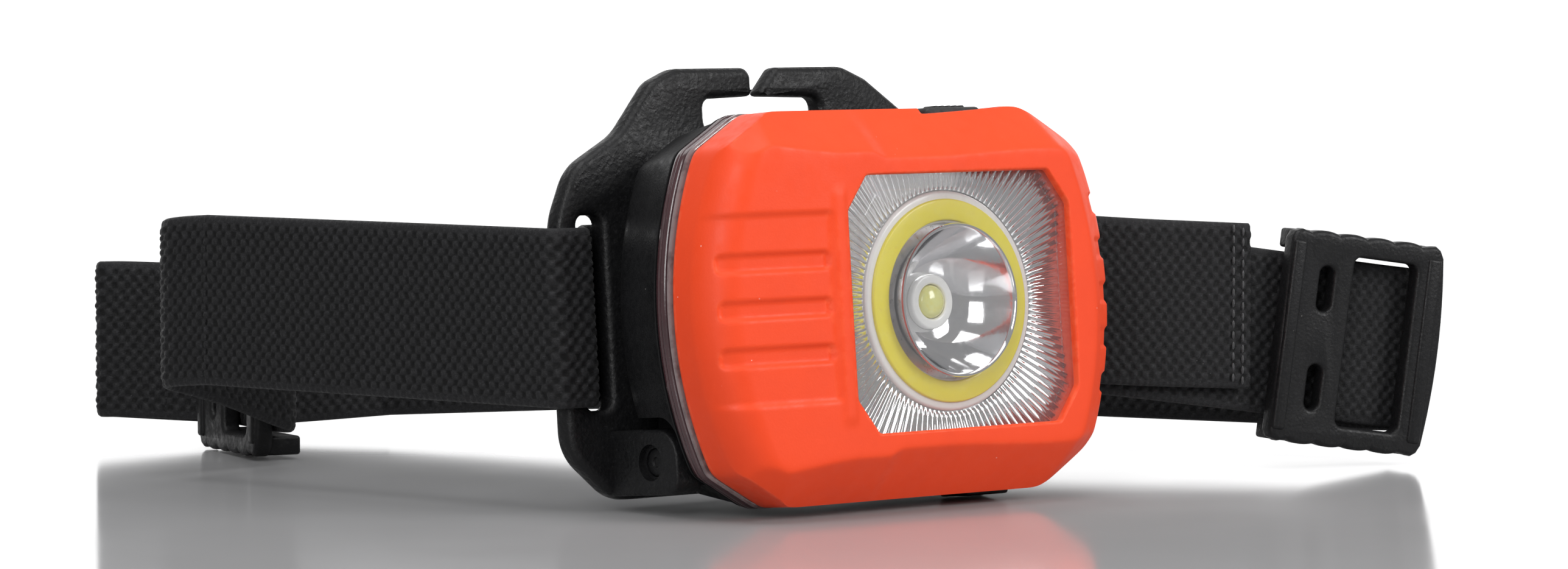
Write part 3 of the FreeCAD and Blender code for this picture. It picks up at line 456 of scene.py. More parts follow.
def grip_depth(x, z):
    """Three sunken bars with round corners on the left."""
    depth = np.zeros_like(x)
    for step in (-1, 0, 1):
        over_x = np.abs(x - GRIP_X) - (8.65 - 0.9)
        over_z = np.abs(z - step * GRIP_PITCH) - (1.4 - 0.9)
        outside = np.hypot(np.clip(over_x, 0, None), np.clip(over_z, 0, None))
        inside = np.minimum(np.maximum(over_x, over_z), 0)
        depth += 0.5 * soft_step(1.05 - outside - inside, 0.75)
    return depth


def right_nick(z):
    return sum(soft_step(1.6 - np.abs(z - step * GRIP_PITCH), 0.5) for step in (-2, -1, 0, 1, 2))


def face_depth(x, z):
    """Depth of the bezel's face behind its foremost plane."""
    centre = SHOULDER - math.sqrt(SIDE_RADIUS ** 2 - 22.2 ** 2)
    side = centre + np.sqrt(SIDE_RADIUS ** 2 - z ** 2)
    from_middle = np.where(x > 0, x - RIGHT_EXTRA, -x)
    distance = np.clip(side - from_middle, 0, None)
    left = 2.3 * np.clip((-12.5 - x) / 18.0, 0, None) ** 1.3 + rounded_edge(distance, 5.0)
    right = soft_max(0.55 * (4.9 - distance), 0 * x, 0.2) + rounded_edge(distance, 1.3)
    sides = np.where(x < 0, left, right)
    block = soft_step(x + 7.0, 3.0)
    crease = 21.0 - 0.9 * block + 0.7 * block * soft_step(x - 4.0, 20.0)
    facet = (np.abs(z) - crease) * (0.94 - 0.1 * block)
    corner = (0.507 * from_middle + 0.862 * np.abs(z) - 30.4) * 1.25
    depth = soft_max(soft_max(sides, facet, 0.25), corner, 0.4)
    sunken = soft_step(13.4 - np.abs(z), 0.9) * soft_step(-14.2 - x, 1.6) * soft_step(distance + 1.0, 2.0)
    ridge = soft_step(x + 15.4, 1.6) * soft_step(-11.9 - x, 1.4) * soft_step(17.0 - np.abs(z), 2.0)
    return depth + 0.4 * sunken + grip_depth(x, z) - 0.22 * ridge


def front_bezel():
    """One closed skin: side wall, moulded face, window wall, lens seat and hollow back."""
    wall_rows = 13
    face_rows = 92
    rings = []
    edge_depth = face_depth(BODY[:, 0], BODY[:, 1])
    for share in np.linspace(0, 1, wall_rows, endpoint=False):
        rings.append(at_depth(BODY, 11.95 + (edge_depth - 11.95) * share))
    rings[0][:, [0, 2]] = body_loop(-0.35)
    across = np.linalg.norm(WINDOW - BODY, axis=1)
    for share in np.linspace(0, 1, face_rows) ** 1.35:
        loop = BODY + (WINDOW - BODY) * share
        lip = rounded_edge((1 - share) * across, 0.45)
        rings.append(at_depth(loop, face_depth(loop[:, 0], loop[:, 1]) + lip))
    for depth in (0.8, 1.05):
        rings.append(at_depth(WINDOW, np.maximum(depth, rings[-1][:, 1] + 0.05)))
    seat_front = rings[-1][:, 1].copy()
    rings.append(at_depth(SEAT, seat_front))
    rings.append(at_depth(SEAT, 6.5))
    rings.append(at_depth(INSIDE, 8.2))
    rings.append(at_depth(INSIDE, 11.95))
    rings = np.array(rings)
    outer = rings[:wall_rows + face_rows // 2]
    x, y, z = outer[..., 0], outer[..., 1], outer[..., 2]
    nick = right_nick(z) * soft_step(x - 34.5, 0.6) * soft_step(10.6 - y, 0.5)
    outer[..., 0] -= 0.55 * nick
    recess = soft_step(7.6 - np.abs(x - BUTTON_X), 0.5) * soft_step(y - 5.2, 0.5) * soft_step(z - 24.0, 0.5)
    outer[..., 2] -= 0.8 * recess
    mesh = wound_mesh("front_bezel", rings, join_ends=True)
    crease = mesh.attributes.new("crease", "FLOAT", "POINT")
    bend = np.zeros(rings.shape[:2])
    slope = np.diff(rings, axis=0)
    slope /= np.linalg.norm(slope, axis=2)[..., None] + 1e-9
    turn = np.arccos(np.clip((slope[1:] * slope[:-1]).sum(2), -1, 1))
    bend[1:-1] = turn
    bend = (np.roll(bend, 1, 0) + bend + np.roll(bend, -1, 0))
    for _ in range(6):
        bend = (np.roll(bend, 1, 1) + 2 * bend + np.roll(bend, -1, 1)) / 4
    crease.data.foreach_set("value", np.clip((bend - 0.2) * 2.0, 0, 1).astype(np.float32).ravel())
    hole = round_box("hole", (BUTTON_X - 5.35, BUTTON_Y - 2.45, 20.0),
                     (BUTTON_X + 5.35, BUTTON_Y + 2.45, 30.0), 0.9)
    mesh = combined(mesh, [hole], "DIFFERENCE")
    add_piece("front_bezel_shell", mesh, HEAD, [LOOKS["orange_shell"]], "head",
              ["front_bezel"], sharp=50.0)


# ---------------------------------------------------------------- lens and lights
def window_lens():
    """Clear tray: thin flange with fine flutes round a raised block with a bevelled edge."""
    outer = window_loop(1.0, density=2)
    flange = window_loop(-0.1, density=2)
    flute = 0.1 * np.cos(np.arange(len(outer)) * math.tau * 188 / len(outer))
    rings = [at_depth(window_loop(0.5, 2), 2.28), at_depth(outer, 2.28), at_depth(outer, 1.15)]
    rings += [at_depth(flange, 1.15), at_depth(window_loop(-0.35, 2), 1.0 + flute)]
    rings += [at_depth(window_loop(-1.85, 2), 0.9 + flute)]
    for proud, depth in ((-2.05, 0.95), (-2.15, 0.6), (-2.35, 0.42), (-2.8, 0.3), (-3.2, 0.28), (-3.6, 0.28)):
        rings.append(at_depth(window_loop(proud, 2), depth))
    mesh = wound_mesh("window_lens", rings)
    add_piece("window_lens_tray", mesh, HEAD, [LOOKS["clear_lens"]], "head", ["window_lens"])


def fluted_reflector():
    """Mirror bowl between the ring light and the window, with flutes that fan out from the ring."""
    flutes = 118
    angles = np.linspace(0, math.tau, flutes * 8, endpoint=False)
    east = np.cos(angles)
    north = np.sin(angles)
    sides = [(1, 0, 30.3 - RING_X), (-1, 0, RING_X + 12.9), (0, 1, 18.9), (0, -1, 18.9)]
    for across in (1, -1):
        reach = (30.3 - 3.7 - RING_X) if across > 0 else (RING_X + 12.9 - 3.7)
        size = math.hypot(4.9, 3.7)
        limit = (4.9 * reach + 3.7 * 18.9) / size
        sides += [(across * 4.9 / size, up * 3.7 / size, limit) for up in (1, -1)]
    edge = np.full(len(angles), 99.0)
    for nx, nz, limit in sides:
        facing = nx * east + nz * north
        edge = np.minimum(edge, np.where(facing > 1e-3, limit / np.maximum(facing, 1e-3), 99.0))
    rings = []
    inner = 15.65
    for share in np.linspace(0, 1, 16):
        radius = inner + (edge - inner) * share
        wave = 0.17 * np.cos(flutes * angles) * soft_step(np.array(share), 0.15) * (0.6 + 0.6 * share)
        depth = 5.3 - 2.6 * (radius - inner) / 12.0 + wave
        rings.append(np.stack([RING_X + radius * east, np.maximum(depth, 2.45), radius * north], 1))
    rings.append(np.stack([RING_X + edge * east, np.full(len(angles), 6.15), edge * north], 1))
    rings.append(np.stack([RING_X + inner * east, np.full(len(angles), 6.15), inner * north], 1))
    mesh = wound_mesh("fluted_reflector", rings, join_ends=True)
    add_piece("fluted_reflector_bowl", mesh, HEAD, [LOOKS["mirror_chrome"]], "head",
              ["fluted_reflector"])


def rounded_ring(inner, outer, front, back, radius, steps=5):
    """Profile of a flat ring with its two front edges rounded."""
    profile = [(inner, back)]
    for angle in np.linspace(0, math.pi / 2, steps):
        profile.append((inner + radius * (1 - math.cos(angle)), front + radius * (1 - math.sin(angle))))
    for angle in np.linspace(math.pi / 2, 0, steps):
        profile.append((outer - radius * (1 - math.cos(angle)), front + radius * (1 - math.sin(angle))))
    return profile + [(outer, back)]


def lights():
    """Ring board, its phosphor ring, the spot cup, the collar round the chip and the domed chip."""
    def ring(name, profile, look, node, join_ends=True):
        mesh = turned_mesh(name, profile, 160, join_ends, RING_X)
        add_piece(name, mesh, HEAD, [look], "head", [node])

    white = LOOKS["white_board"]
    yellow = LOOKS["yellow_phosphor"]
    ring("ring_board_face", rounded_ring(10.95, 15.5, 4.95, 6.2, 0.5), white, "ring_board")
    ring("ring_phosphor_band", rounded_ring(11.3, 14.35, 4.55, 4.94, 0.3), yellow,
         "ring_phosphor")
    depths = np.linspace(0, 1, 30)
    inside = [(4.0 + 6.3 * (1 - share) ** 0.52, 2.6 + 6.75 * share) for share in depths]
    outside = [(radius + 0.55, min(depth + 0.05, 9.4)) for radius, depth in reversed(inside)]
    rim = [(10.75, 2.42), (10.45, 2.42)]
    ring("spot_reflector_cup", inside + outside + rim, LOOKS["mirror_chrome"],
         "spot_reflector")
    ring("chip_collar_ring", rounded_ring(2.45, 3.9, 8.35, 9.38, 0.35), white, "chip_collar")
    dome = [(2.35, 9.35), (2.35, 8.75)]
    for angle in np.linspace(0.12, math.pi / 2 - 0.03, 9):
        dome.append((2.3 * math.cos(angle), 8.7 - 1.0 * math.sin(angle)))
    ring("spot_chip_dome", dome, chip_silicone(), "spot_chip", join_ends=False)


# ---------------------------------------------------------------- seal, housing, button
def seal_frame():
    """Smoky frame behind the bezel: a clear lip, a groove and a broad ridge."""
    section = [(-2.1, 12.42), (-0.5, 12.42), (-0.12, 12.5), (0.08, 12.66), (0.1, 12.86), (-0.05, 13.0),
               (-0.45, 13.06), (-0.5, 13.3), (-0.2, 13.42), (0.05, 13.62), (0.16, 13.95), (0.16, 14.2),
               (0.06, 14.36), (0.06, 14.46), (0.16, 14.6), (0.14, 14.9), (0.02, 15.2), (-0.25, 15.3),
               (-0.3, 15.66), (-2.1, 15.66)]
    rings = [at_depth(body_loop(proud), depth) for proud, depth in section]
    mesh = wound_mesh("seal_frame", rings, join_ends=True)
    indices = [1 if polygon.center.y < 13.02 else 0 for polygon in mesh.polygons]
    piece_looks = [LOOKS["smoky_plastic"], clear_lip()]
    piece = add_piece("seal_frame_band", mesh, HEAD, piece_looks, "head", ["seal_frame"])
    piece.data.polygons.foreach_set("material_index", indices)


def side_prism(name, outline, left, right):
    """A closed prism from a side-view outline in y and z, between two x values."""
    outline = np.array(outline)
    rings = [np.stack([np.full(len(outline), x), outline[:, 0], outline[:, 1]], 1) for x in (left, right)]
    return wound_mesh(name, rings)


def rear_housing():
    """Rear shell: tapered sides, rounded back, notches round the ears, screw holes and latch tab."""
    rings = []
    bay = eight_sided(-17.2, 17.2, 24.9, 1.2, 1.2)
    rings.append(at_depth(bay, 24.5))
    rings.append(at_depth(bay, 15.75))
    section = [(-0.55, 15.72), (-0.12, 15.78), (-0.08, 15.95), (-0.3, 16.1), (-0.4, 16.3), (-1.0, 20.0),
               (-1.7, 24.2), (-1.9, 25.4), (-2.3, 26.2), (-2.9, 26.75), (-3.7, 27.0)]
    for proud, depth in section:
        rings.append(at_depth(body_loop(proud), depth))
    mesh = wound_mesh("rear_housing", rings)
    cutters = []
    corner = rounded_outline([(16.3, -40.0, 0), (16.3, -13.9, 3.2), (40.0, -13.9, 0), (40.0, -40.0, 0)])
    for left, right in ((25.95 + RIGHT_EXTRA, 48.0), (-48.0, -25.95)):
        cutters.append(side_prism("notch", corner, left, right))
    for left, right in ((22.6 + RIGHT_EXTRA, 31.0 + RIGHT_EXTRA), (-31.0, -22.6)):
        cutters.append(cross_cylinder(2.1, left, right, HINGE.y, HINGE.z))
    for x in (20.2, -20.2):
        for z in (18.8, -18.8):
            hole = turned_mesh("hole", [(2.35, 24.6), (2.35, 30.0)], 48, False)
            hole.transform(Matrix.Translation((x, 0, z)))
            cutters.append(hole)
    mesh = combined(mesh, cutters, "DIFFERENCE")
    tab = round_box("tab", (17.0, 11.3, -27.95), (25.0, 17.5, -25.9), 0.45)
    mesh = combined(mesh, [tab], "UNION")
    add_piece("rear_housing_shell", mesh, HEAD, [black_plastic("housing_plastic", 0.3, 0.03)],
              "head", ["rear_housing"])


def power_button():
    """Rubber cap with five ribs, its flange under the top wall and the stem over the switch."""
    def block(name, half_x, half_y, low, high, radius, shift=0.0):
        middle_x = BUTTON_X + shift
        return round_box(name, (middle_x - half_x, BUTTON_Y - half_y, low),
                         (middle_x + half_x, BUTTON_Y + half_y, high), radius)

    cap = block("cap", 5.15, 2.25, 24.0, 27.35, 0.7)
    ribs = [block("rib", 0.35, 1.4, 27.0, 27.62, 0.25, shift) for shift in (-2.4, -1.2, 0.0, 1.2, 2.4)]
    flange = block("flange", 5.8, 2.3, 23.6, 24.6, 0.2)
    stem = block("stem", 1.5, 1.5, 22.6, 24.0, 0.2)
    mesh = combined(cap, ribs + [flange, stem], "UNION")
    add_piece("power_button_cap", mesh, HEAD, [LOOKS["black_rubber"]], "power_button",
              ["power_button"])


# ---------------------------------------------------------------- flat plates and outlines
def corner_arc(corner, before, after, radius, most, steps):
    """Points of the arc in a corner between two edges, and how far along each edge it reaches."""
    half = before.angle(after) / 2
    reach = min(radius / math.tan(half), before.length * most, after.length * most)
    middle = (before.normalized() + after.normalized()).normalized()
    centre = corner + middle * (reach / math.cos(half))
    start = corner + before.normalized() * reach - centre
    finish = corner + after.normalized() * reach - centre
    first = math.atan2(start.y, start.x)
    sweep = (math.atan2(finish.y, finish.x) - first + math.pi) % math.tau - math.pi
    size = start.length
    points = []
    for share in np.linspace(0, 1, steps):
        angle = first + sweep * share
        points.append((centre.x + size * math.cos(angle), centre.y + size * math.sin(angle)))
    return points, reach


def rounded_outline(corners, steps=9):
    """A closed outline with an arc of its own radius at each corner."""
    points = []
    for index, (x, y, radius) in enumerate(corners):
        corner = Vector((x, y))
        before = Vector(corners[index - 1][:2]) - corner
        after = Vector(corners[(index + 1) % len(corners)][:2]) - corner
        if not radius:
            points.append((x, y))
            continue
        points += corner_arc(corner, before, after, radius, 0.49, steps)[0]
    return points


def signed_area(points):
    pairs = zip(points, points[1:] + points[:1])
    return sum(x1 * y2 - x2 * y1 for (x1, y1), (x2, y2) in pairs) / 2


def plate_mesh(name, outline, holes, front, back, bevel):
    """A plate drawn in x and z with holes, between two depths, with every edge rounded."""
    curve = bpy.data.curves.new(name, "CURVE")
    curve.dimensions = "2D"
    curve.fill_mode = "BOTH"
    curve.extrude = (back - front) / 2 - bevel
    curve.bevel_depth = bevel
    curve.bevel_resolution = 3
    curve.offset = -bevel
    for index, points in enumerate([outline] + holes):
        points = list(points)
        if (signed_area(points) > 0) == (index > 0):
            points.reverse()
        spline = curve.splines.new("POLY")
        spline.points.add(len(points) - 1)
        for point, (x, y) in zip(spline.points, points):
            point.co = (x, y, 0, 1)
        spline.use_cyclic_u = True
    item = bpy.data.objects.new(name, curve)
    bpy.context.scene.collection.objects.link(item)
    bpy.context.view_layer.update()
    graph = bpy.context.evaluated_depsgraph_get()
    mesh = bpy.data.meshes.new_from_object(item.evaluated_get(graph))
    bpy.data.objects.remove(item)
    upright = Matrix.Translation((0, (front + back) / 2, 0)) @ Matrix.Rotation(math.pi / 2, 4, "X")
    mesh.transform(upright)
    return tidy_mesh(mesh, merge=0.004)


def edges_rounded(mesh, width, segments=3):
    """The mesh with its sharp edges rounded."""
    shell = bmesh.new()
    shell.from_mesh(mesh)
    sharp = [edge for edge in shell.edges if len(edge.link_faces) == 2 and edge.calc_face_angle() > 1.0]
    bmesh.ops.bevel(shell, geom=sharp, offset=width, segments=segments, profile=0.5, affect="EDGES",
                    clamp_overlap=True)
    shell.to_mesh(mesh)
    shell.free()
    return tidy_mesh(mesh)


def cross_cylinder(radius, left, right, y, z, segments=48):
    """A cylinder along x."""
    mesh = turned_mesh("bar", [(radius, left), (radius, right)], segments, False)
    mesh.transform(Matrix.Translation((0, y, z)) @ Matrix.Rotation(-math.pi / 2, 4, "Z"))
    return tidy_mesh(mesh)


# ---------------------------------------------------------------- bracket, hinge pins and sliders
def tilt_bracket():
    """Plate with strap slots and a split top hook, and two ears with sunk pin holes."""
    side = [(30.5, -25.3, 7), (38.2, -18.5, 7), (38.2, 14.0, 11), (34.8, 21.4, 8), (26.2, 26.0, 9)]
    shoulder = [(20.0, 33.2, 5), (15.6, 35.0, 5)]
    hook = [(3.0, 35.0, 1.3), (-0.7, 30.9, 0.5), (10.7, 30.6, 1.6), (10.7, 25.2, 2.2), (-10.7, 25.2, 2.6),
            (-10.7, 30.6, 1.6), (-1.7, 30.9, 0.5), (-1.7, 35.0, 1.6)]
    right = [(x + RIGHT_EXTRA, z, radius) for x, z, radius in side] + shoulder
    left = [(-x, z, radius) for x, z, radius in reversed(side + shoulder)]
    outline = rounded_outline(right + hook + left)
    slots = [rounded_outline([(inner, -12.6, 1.5), (inner + 4.4, -12.6, 1.5), (inner + 4.4, 14.7, 1.5),
                              (inner, 14.7, 1.5)]) for inner in (30.2 + RIGHT_EXTRA, -34.6)]
    mesh = plate_mesh("tilt_bracket", outline, slots, 31.5, 35.0, 1.15)
    ear = rounded_outline([(17.2, -15.6, 4.2), (33.2, -15.6, 0), (33.2, -24.7, 0), (17.2, -24.7, 2.4)])
    ears = []
    cuts = []
    for side, extra in ((1, RIGHT_EXTRA), (-1, 0.0)):
        edges = sorted((side * 26.25 + extra, side * 31.0 + extra))
        ears.append(edges_rounded(side_prism("ear", ear, *edges), 0.45))
        sunk = sorted((side * 30.05 + extra, side * 33.0 + extra))
        bore = sorted((side * 25.0 + extra, side * 30.5 + extra))
        cuts.append(cross_cylinder(2.55, *sunk, HINGE.y, HINGE.z))
        cuts.append(cross_cylinder(2.0, *bore, HINGE.y, HINGE.z))
    mesh = combined(mesh, ears, "UNION")
    mesh = combined(mesh, cuts, "DIFFERENCE")
    add_piece("tilt_bracket_plate", mesh, HEAD, [black_plastic("bracket_plastic", 0.55, 0.09)],
              "root", ["tilt_bracket"])


def hinge_pins():
    for name, side, reach in (("hinge_pin_right", 1, 30.0 + RIGHT_EXTRA), ("hinge_pin_left", -1, 30.0)):
        profile = [(1.95, reach - 7.2), (1.95, reach - 0.35), (1.85, reach - 0.12), (1.6, reach),
                   (0.75, reach - 0.02), (0.6, reach - 0.25)]
        mesh = turned_mesh(name, profile, 64, False)
        turn = Matrix.Rotation(-math.pi / 2 * side, 4, "Z")
        mesh.transform(Matrix.Translation((0, HINGE.y, HINGE.z)) @ turn)
        add_piece(name + "_rod", tidy_mesh(mesh), HEAD, [black_plastic(name + "_finish", 0.3, 0.02)],
                  "root", [name])


def slider(node, x, y, height, heading, slope):
    """Ladder slider: scalloped face with a band slot and two holes, ridges, cheeks and a rear bar."""
    across = np.linspace(-10.5, 9.0, 57)
    scallop = 16.25 - 0.5 * (1 - np.abs(np.sin((across + 10.5) / 19.5 * 4 * math.pi)) ** 0.6)
    top = [(x, z) for x, z in zip(across, scallop)]
    bottom = [(x, -z) for x, z in reversed(top)]
    swell = [(14.0 - 1.1 * (z / 15.0) ** 2, z) for z in np.linspace(14.4, -14.4, 13)]
    right = [(11.4, 16.15), (12.3, 15.6)] + swell + [(12.3, -15.6), (11.4, -16.15)]
    left = [(-12.2, -16.15), (-13.3, -15.7), (-13.9, -14.6), (-14.0, 0.0), (-13.9, 14.6), (-13.3, 15.7),
            (-12.2, 16.15)]
    holes = [rounded_outline([(-2.6, -12.9, 1.2), (8.4, -12.9, 1.2), (8.4, 12.9, 1.2), (-2.6, 12.9, 1.2)])]
    for side in (1, -1):
        holes.append(rounded_outline([(-8.4, side * 4.1, 1.15), (-6.0, side * 4.1, 1.15),
                                      (-6.0, side * 10.9, 1.15), (-8.4, side * 10.9, 1.15)]))
    face = plate_mesh(node, top + right + bottom + left, holes, -4.15, -1.15, 0.75)
    extras = [round_box("ridge", (-13.7, -4.6, -14.4), (-11.5, -3.2, 14.4), 0.55),
              round_box("ridge", (10.1, -4.5, -14.2), (12.5, -3.2, 14.2), 0.55),
              round_box("cheek", (-12.0, -1.9, 13.1), (12.0, 3.65, 16.05), 0.5),
              round_box("cheek", (-12.0, -1.9, -16.05), (12.0, 3.65, -13.1), 0.5),
              round_box("bar", (-6.0, 1.3, -15.9), (-1.0, 3.7, 15.9), 0.6)]
    mesh = combined(face, extras, "UNION")
    place = TABLE @ Matrix.Translation((x * MM, y * MM, height * MM))
    place = place @ Matrix.Rotation(math.radians(heading), 4, "Z")
    place = place @ Matrix.Rotation(math.radians(slope), 4, "Y")
    add_piece(node + "_buckle", mesh, place, [LOOKS["black_plastic"]], node, [node])


# ---------------------------------------------------------------- elastic band
# Stops of each run: x, y and height in millimetres, the bend's radius, and the share of the head's lean.
BAND_RUNS = {
    "band_forehead": [(-29.3, 36.2, 27.2, 0, 1), (0.0, 36.2, 27.2, 0, 1), (33.5, 36.2, 27.2, 0, 1)],
    "band_left": [(-29.1, 36.2, 27.2, 0, 1), (-30.6, 36.2, 27.2, 0.9, 1), (-34.3, 30.3, 27.2, 1.0, 1),
                  (-39.9, 30.5, 27.2, 1.6, 1), (-46.0, 62.0, 27.2, 30, 0.3), (-53.3, 97.3, 27.2, 0, 0)],
    "band_left_fold": [(-53.2, 97.0, 27.2, 0, 0), (-55.5, 108.0, 26.6, 4.5, 0),
                       (-40.0, 112.5, 22.5, 6, 0), (-24.9, 116.2, 17.0, 3.5, 0),
                       (-14.8, 154.2, 16.3, 6, 0), (-20.0, 159.5, 16.5, 0, 0)],
    "band_tail": [(-19.8, 159.3, 16.5, 0, 0), (-32.5, 172.2, 17.1, 3.0, 0), (-13.0, 164.6, 15.4, 20, 0),
                  (0.0, 159.3, 14.4, 20, 0), (18.1, 151.5, 15.5, 0, 0)],
    "band_rear": [(16.9, 152.15, 15.5, 0, 0), (40.0, 119.0, 17.5, 60, 0), (66.5, 80.0, 18.6, 60, 0),
                  (100.2, 27.7, 17.6, 0, 0)],
    "band_right": [(100.0, 28.0, 17.6, 0, 0), (114.6, 6.3, 16.4, 3.4, 0), (62.0, 21.0, 24.0, 20, 0),
                   (53.0, 24.15, 25.2, 0, 0)],
    "band_sewn_end": [(33.3, 36.2, 27.2, 0, 1), (34.8, 36.2, 27.2, 0.9, 1), (38.5, 30.3, 27.2, 1.0, 1),
                      (43.8, 30.0, 27.2, 1.6, 1), (48.2, 24.2, 27.0, 4, 0), (61.3, 18.9, 26.0, 20, 0),
                      (78.5, 14.1, 25.0, 0, 0)],
}
BAND_WIDTH = 25.0
BAND_HALF = 0.62
SELVEDGE = 1.0
BEND_STEPS = 15


def band_line(stops, spacing):
    """Even points along a run: x, y, height and lean, with each bend turned into an arc."""
    line = []
    for index, (x, y, height, radius, lean) in enumerate(stops):
        if not radius:
            line.append((x, y, height, lean))
            continue
        corner = Vector((x, y))
        before = Vector(stops[index - 1][:2]) - corner
        after = Vector(stops[index + 1][:2]) - corner
        points, reach = corner_arc(corner, before, after, radius, 0.48, BEND_STEPS)
        share_in = reach / before.length
        share_out = reach / after.length
        high_in = height + (stops[index - 1][2] - height) * share_in
        high_out = height + (stops[index + 1][2] - height) * share_out
        for share, point in zip(np.linspace(0, 1, BEND_STEPS), points):
            line.append((*point, high_in + (high_out - high_in) * share, lean))
    line = np.array(line)
    steps = np.concatenate([[0], np.cumsum(np.linalg.norm(np.diff(line[:, :2], axis=0), axis=1))])
    count = int(steps[-1] / spacing) + 1
    even = np.linspace(0, steps[-1], count)
    line = np.stack([np.interp(even, steps, line[:, part]) for part in range(4)], 1)
    for part, passes in ((2, 200), (3, 200), (0, 3), (1, 3)):
        for _ in range(passes):
            line[1:-1, part] = (line[:-2, part] + 2 * line[1:-1, part] + line[2:, part]) / 4
    return line, even


def woven(along, across):
    """Height of the weave, 0 to 1: rows of raised stitches, every other row half a stitch on."""
    wander = 0.12 * np.sin(along * 0.9 + across * 1.7) + 0.1 * np.sin(across * 3.1 - along * 0.4)
    wave = np.cos(math.tau * (along + wander) / 1.95) * np.cos(math.pi * (across + wander * 0.5) / 1.08)
    return np.clip(0.5 + 0.75 * wave, 0, 1) ** 1.3


def band_run(node, spacing=0.3, columns=80):
    """One run of the elastic band, with its weave on both faces and plain selvedges."""
    line, along = band_line(BAND_RUNS[node], spacing)
    ahead = np.gradient(line[:, :2], axis=0)
    ahead /= np.linalg.norm(ahead, axis=1)[:, None]
    side = np.stack([ahead[:, 1], -ahead[:, 0], np.zeros(len(line))], 1)
    lean = LEAN * line[:, 3]
    up = np.stack([np.zeros(len(line)), np.sin(lean), np.cos(lean)], 1)
    half_width = BAND_WIDTH / 2
    turn = np.linspace(-1, 1, columns)
    across = half_width * np.sin(turn * math.pi / 2) * 0.12 + half_width * turn * 0.88
    grid_u, grid_v = np.meshgrid(along, across, indexing="ij")
    inset = half_width - np.abs(grid_v)
    fade = soft_step(inset - SELVEDGE * 0.5, SELVEDGE)
    edge = np.sqrt(np.clip(1 - (1 - np.clip(inset / 0.7, 0, 1)) ** 2, 0.04, 1))
    ripple = 0.09 * (1 - fade) * np.cos(math.tau * grid_u / 1.1)
    middle = line[:, None, :3] + up[:, None, :] * grid_v[..., None]
    layers = []
    reliefs = []
    for sign, shift in ((1, 0.0), (-1, 0.55)):
        weave = woven(grid_u + shift, grid_v)
        reliefs.append(weave * fade + 0.6 * (1 - fade))
        height = BAND_HALF * edge + (0.36 * weave * fade - 0.1) + ripple * edge
        layers.append(middle + side[:, None, :] * (sign * height)[..., None])
    rings = np.concatenate([layers[0], layers[1][:, ::-1]], 1)
    mesh = wound_mesh(node, rings)
    threads = np.zeros((len(along), 2 * columns, 3))
    threads[..., 0] = along[:, None]
    threads[..., 1] = np.concatenate([across, across[::-1] + 40.0])[None, :]
    attribute = mesh.attributes.new("threads", "FLOAT_VECTOR", "POINT")
    attribute.data.foreach_set("vector", threads.astype(np.float32).ravel())
    # The weave's height; black_elastic reads it to darken the valleys as painted shade.
    relief = mesh.attributes.new("relief", "FLOAT", "POINT")
    raised = np.concatenate([reliefs[0], reliefs[1][:, ::-1]], 1)
    relief.data.foreach_set("value", raised.astype(np.float32).ravel())
    return mesh, line, side, up


def bands():
    spacings = {"band_forehead": (0.5, 60), "band_left": (0.26, 92), "band_left_fold": (0.34, 80),
                "band_tail": (0.34, 80), "band_rear": (0.42, 70), "band_right": (0.3, 84),
                "band_sewn_end": (0.27, 92)}
    for node, (spacing, columns) in spacings.items():
        mesh, line, side, up = band_run(node, spacing, columns)
        add_piece(node + "_webbing", mesh, TABLE, [LOOKS["black_elastic"]], "root", [node],
                  sharp=80.0)
        if node == "band_sewn_end":
            add_stitches(line, side, up)


def add_stitches(line, side, up):
    """Two rows of thread across the sewn end, on its outer face."""
    stitches = bmesh.new()
    for row, back in enumerate((1.6, 3.0)):
        index = len(line) - 1 - int(back / 0.27)
        for step in range(15):
            middle = Vector(line[index, :3]) + Vector(side[index]) * 0.86
            middle = middle + Vector(up[index]) * (-11.2 + 1.6 * step + 0.4 * row)
            made = bmesh.ops.create_icosphere(stitches, subdivisions=2, radius=1.0)
            frame_axes = Matrix((side[index], np.cross(up[index], side[index]), up[index])).transposed()
            place = Matrix.Translation(middle) @ frame_axes.to_4x4() @ Matrix.Diagonal((0.16, 0.2, 0.62, 1))
            bmesh.ops.transform(stitches, matrix=place, verts=made["verts"])
    mesh = bpy.data.meshes.new("sewn_end_stitches")
    stitches.to_mesh(mesh)
    stitches.free()
    thread = Look("stitch_thread", (0.02, 0.02, 0.022), 0.5, Sheen_Weight=0.3)
    thread.tint(thread.ramp(thread.noise(0.3), 0.45, 0.7, 0.0, 0.7), (0.05, 0.05, 0.055))
    thread.rough(thread.noise(0.4), 0.4, 0.6).bump(thread.noise(0.15), 0.03)
    add_piece("band_sewn_end_stitches", mesh, TABLE, [thread.material], "root")


# ---------------------------------------------------------------- inner nodes keep their CAD shape
def finish_inner_nodes():
    for row in frame["record"]["subparts"]:
        node = frame["nodes"][row["node"]]
        if node.hide_render:
            continue
        if not node.material_slots:
            node.data.materials.append(None)
        node.material_slots[0].material = LOOKS[row["material_slot"]]
        edge = node.modifiers.new("edge", "BEVEL")
        edge.width = 0.12 * MM
        edge.segments = 2
        edge.limit_method = "ANGLE"
        edge.angle_limit = math.radians(50)


front_bezel()
window_lens()
fluted_reflector()
lights()
seal_frame()
rear_housing()
power_button()
tilt_bracket()
hinge_pins()
slider("slider_right", 97.0, 11.2, 18.95, -15.6, 7.9)
slider("slider_left", -19.85, 135.2, 16.6, 255.1, -1.0)
bands()
finish_inner_nodes()


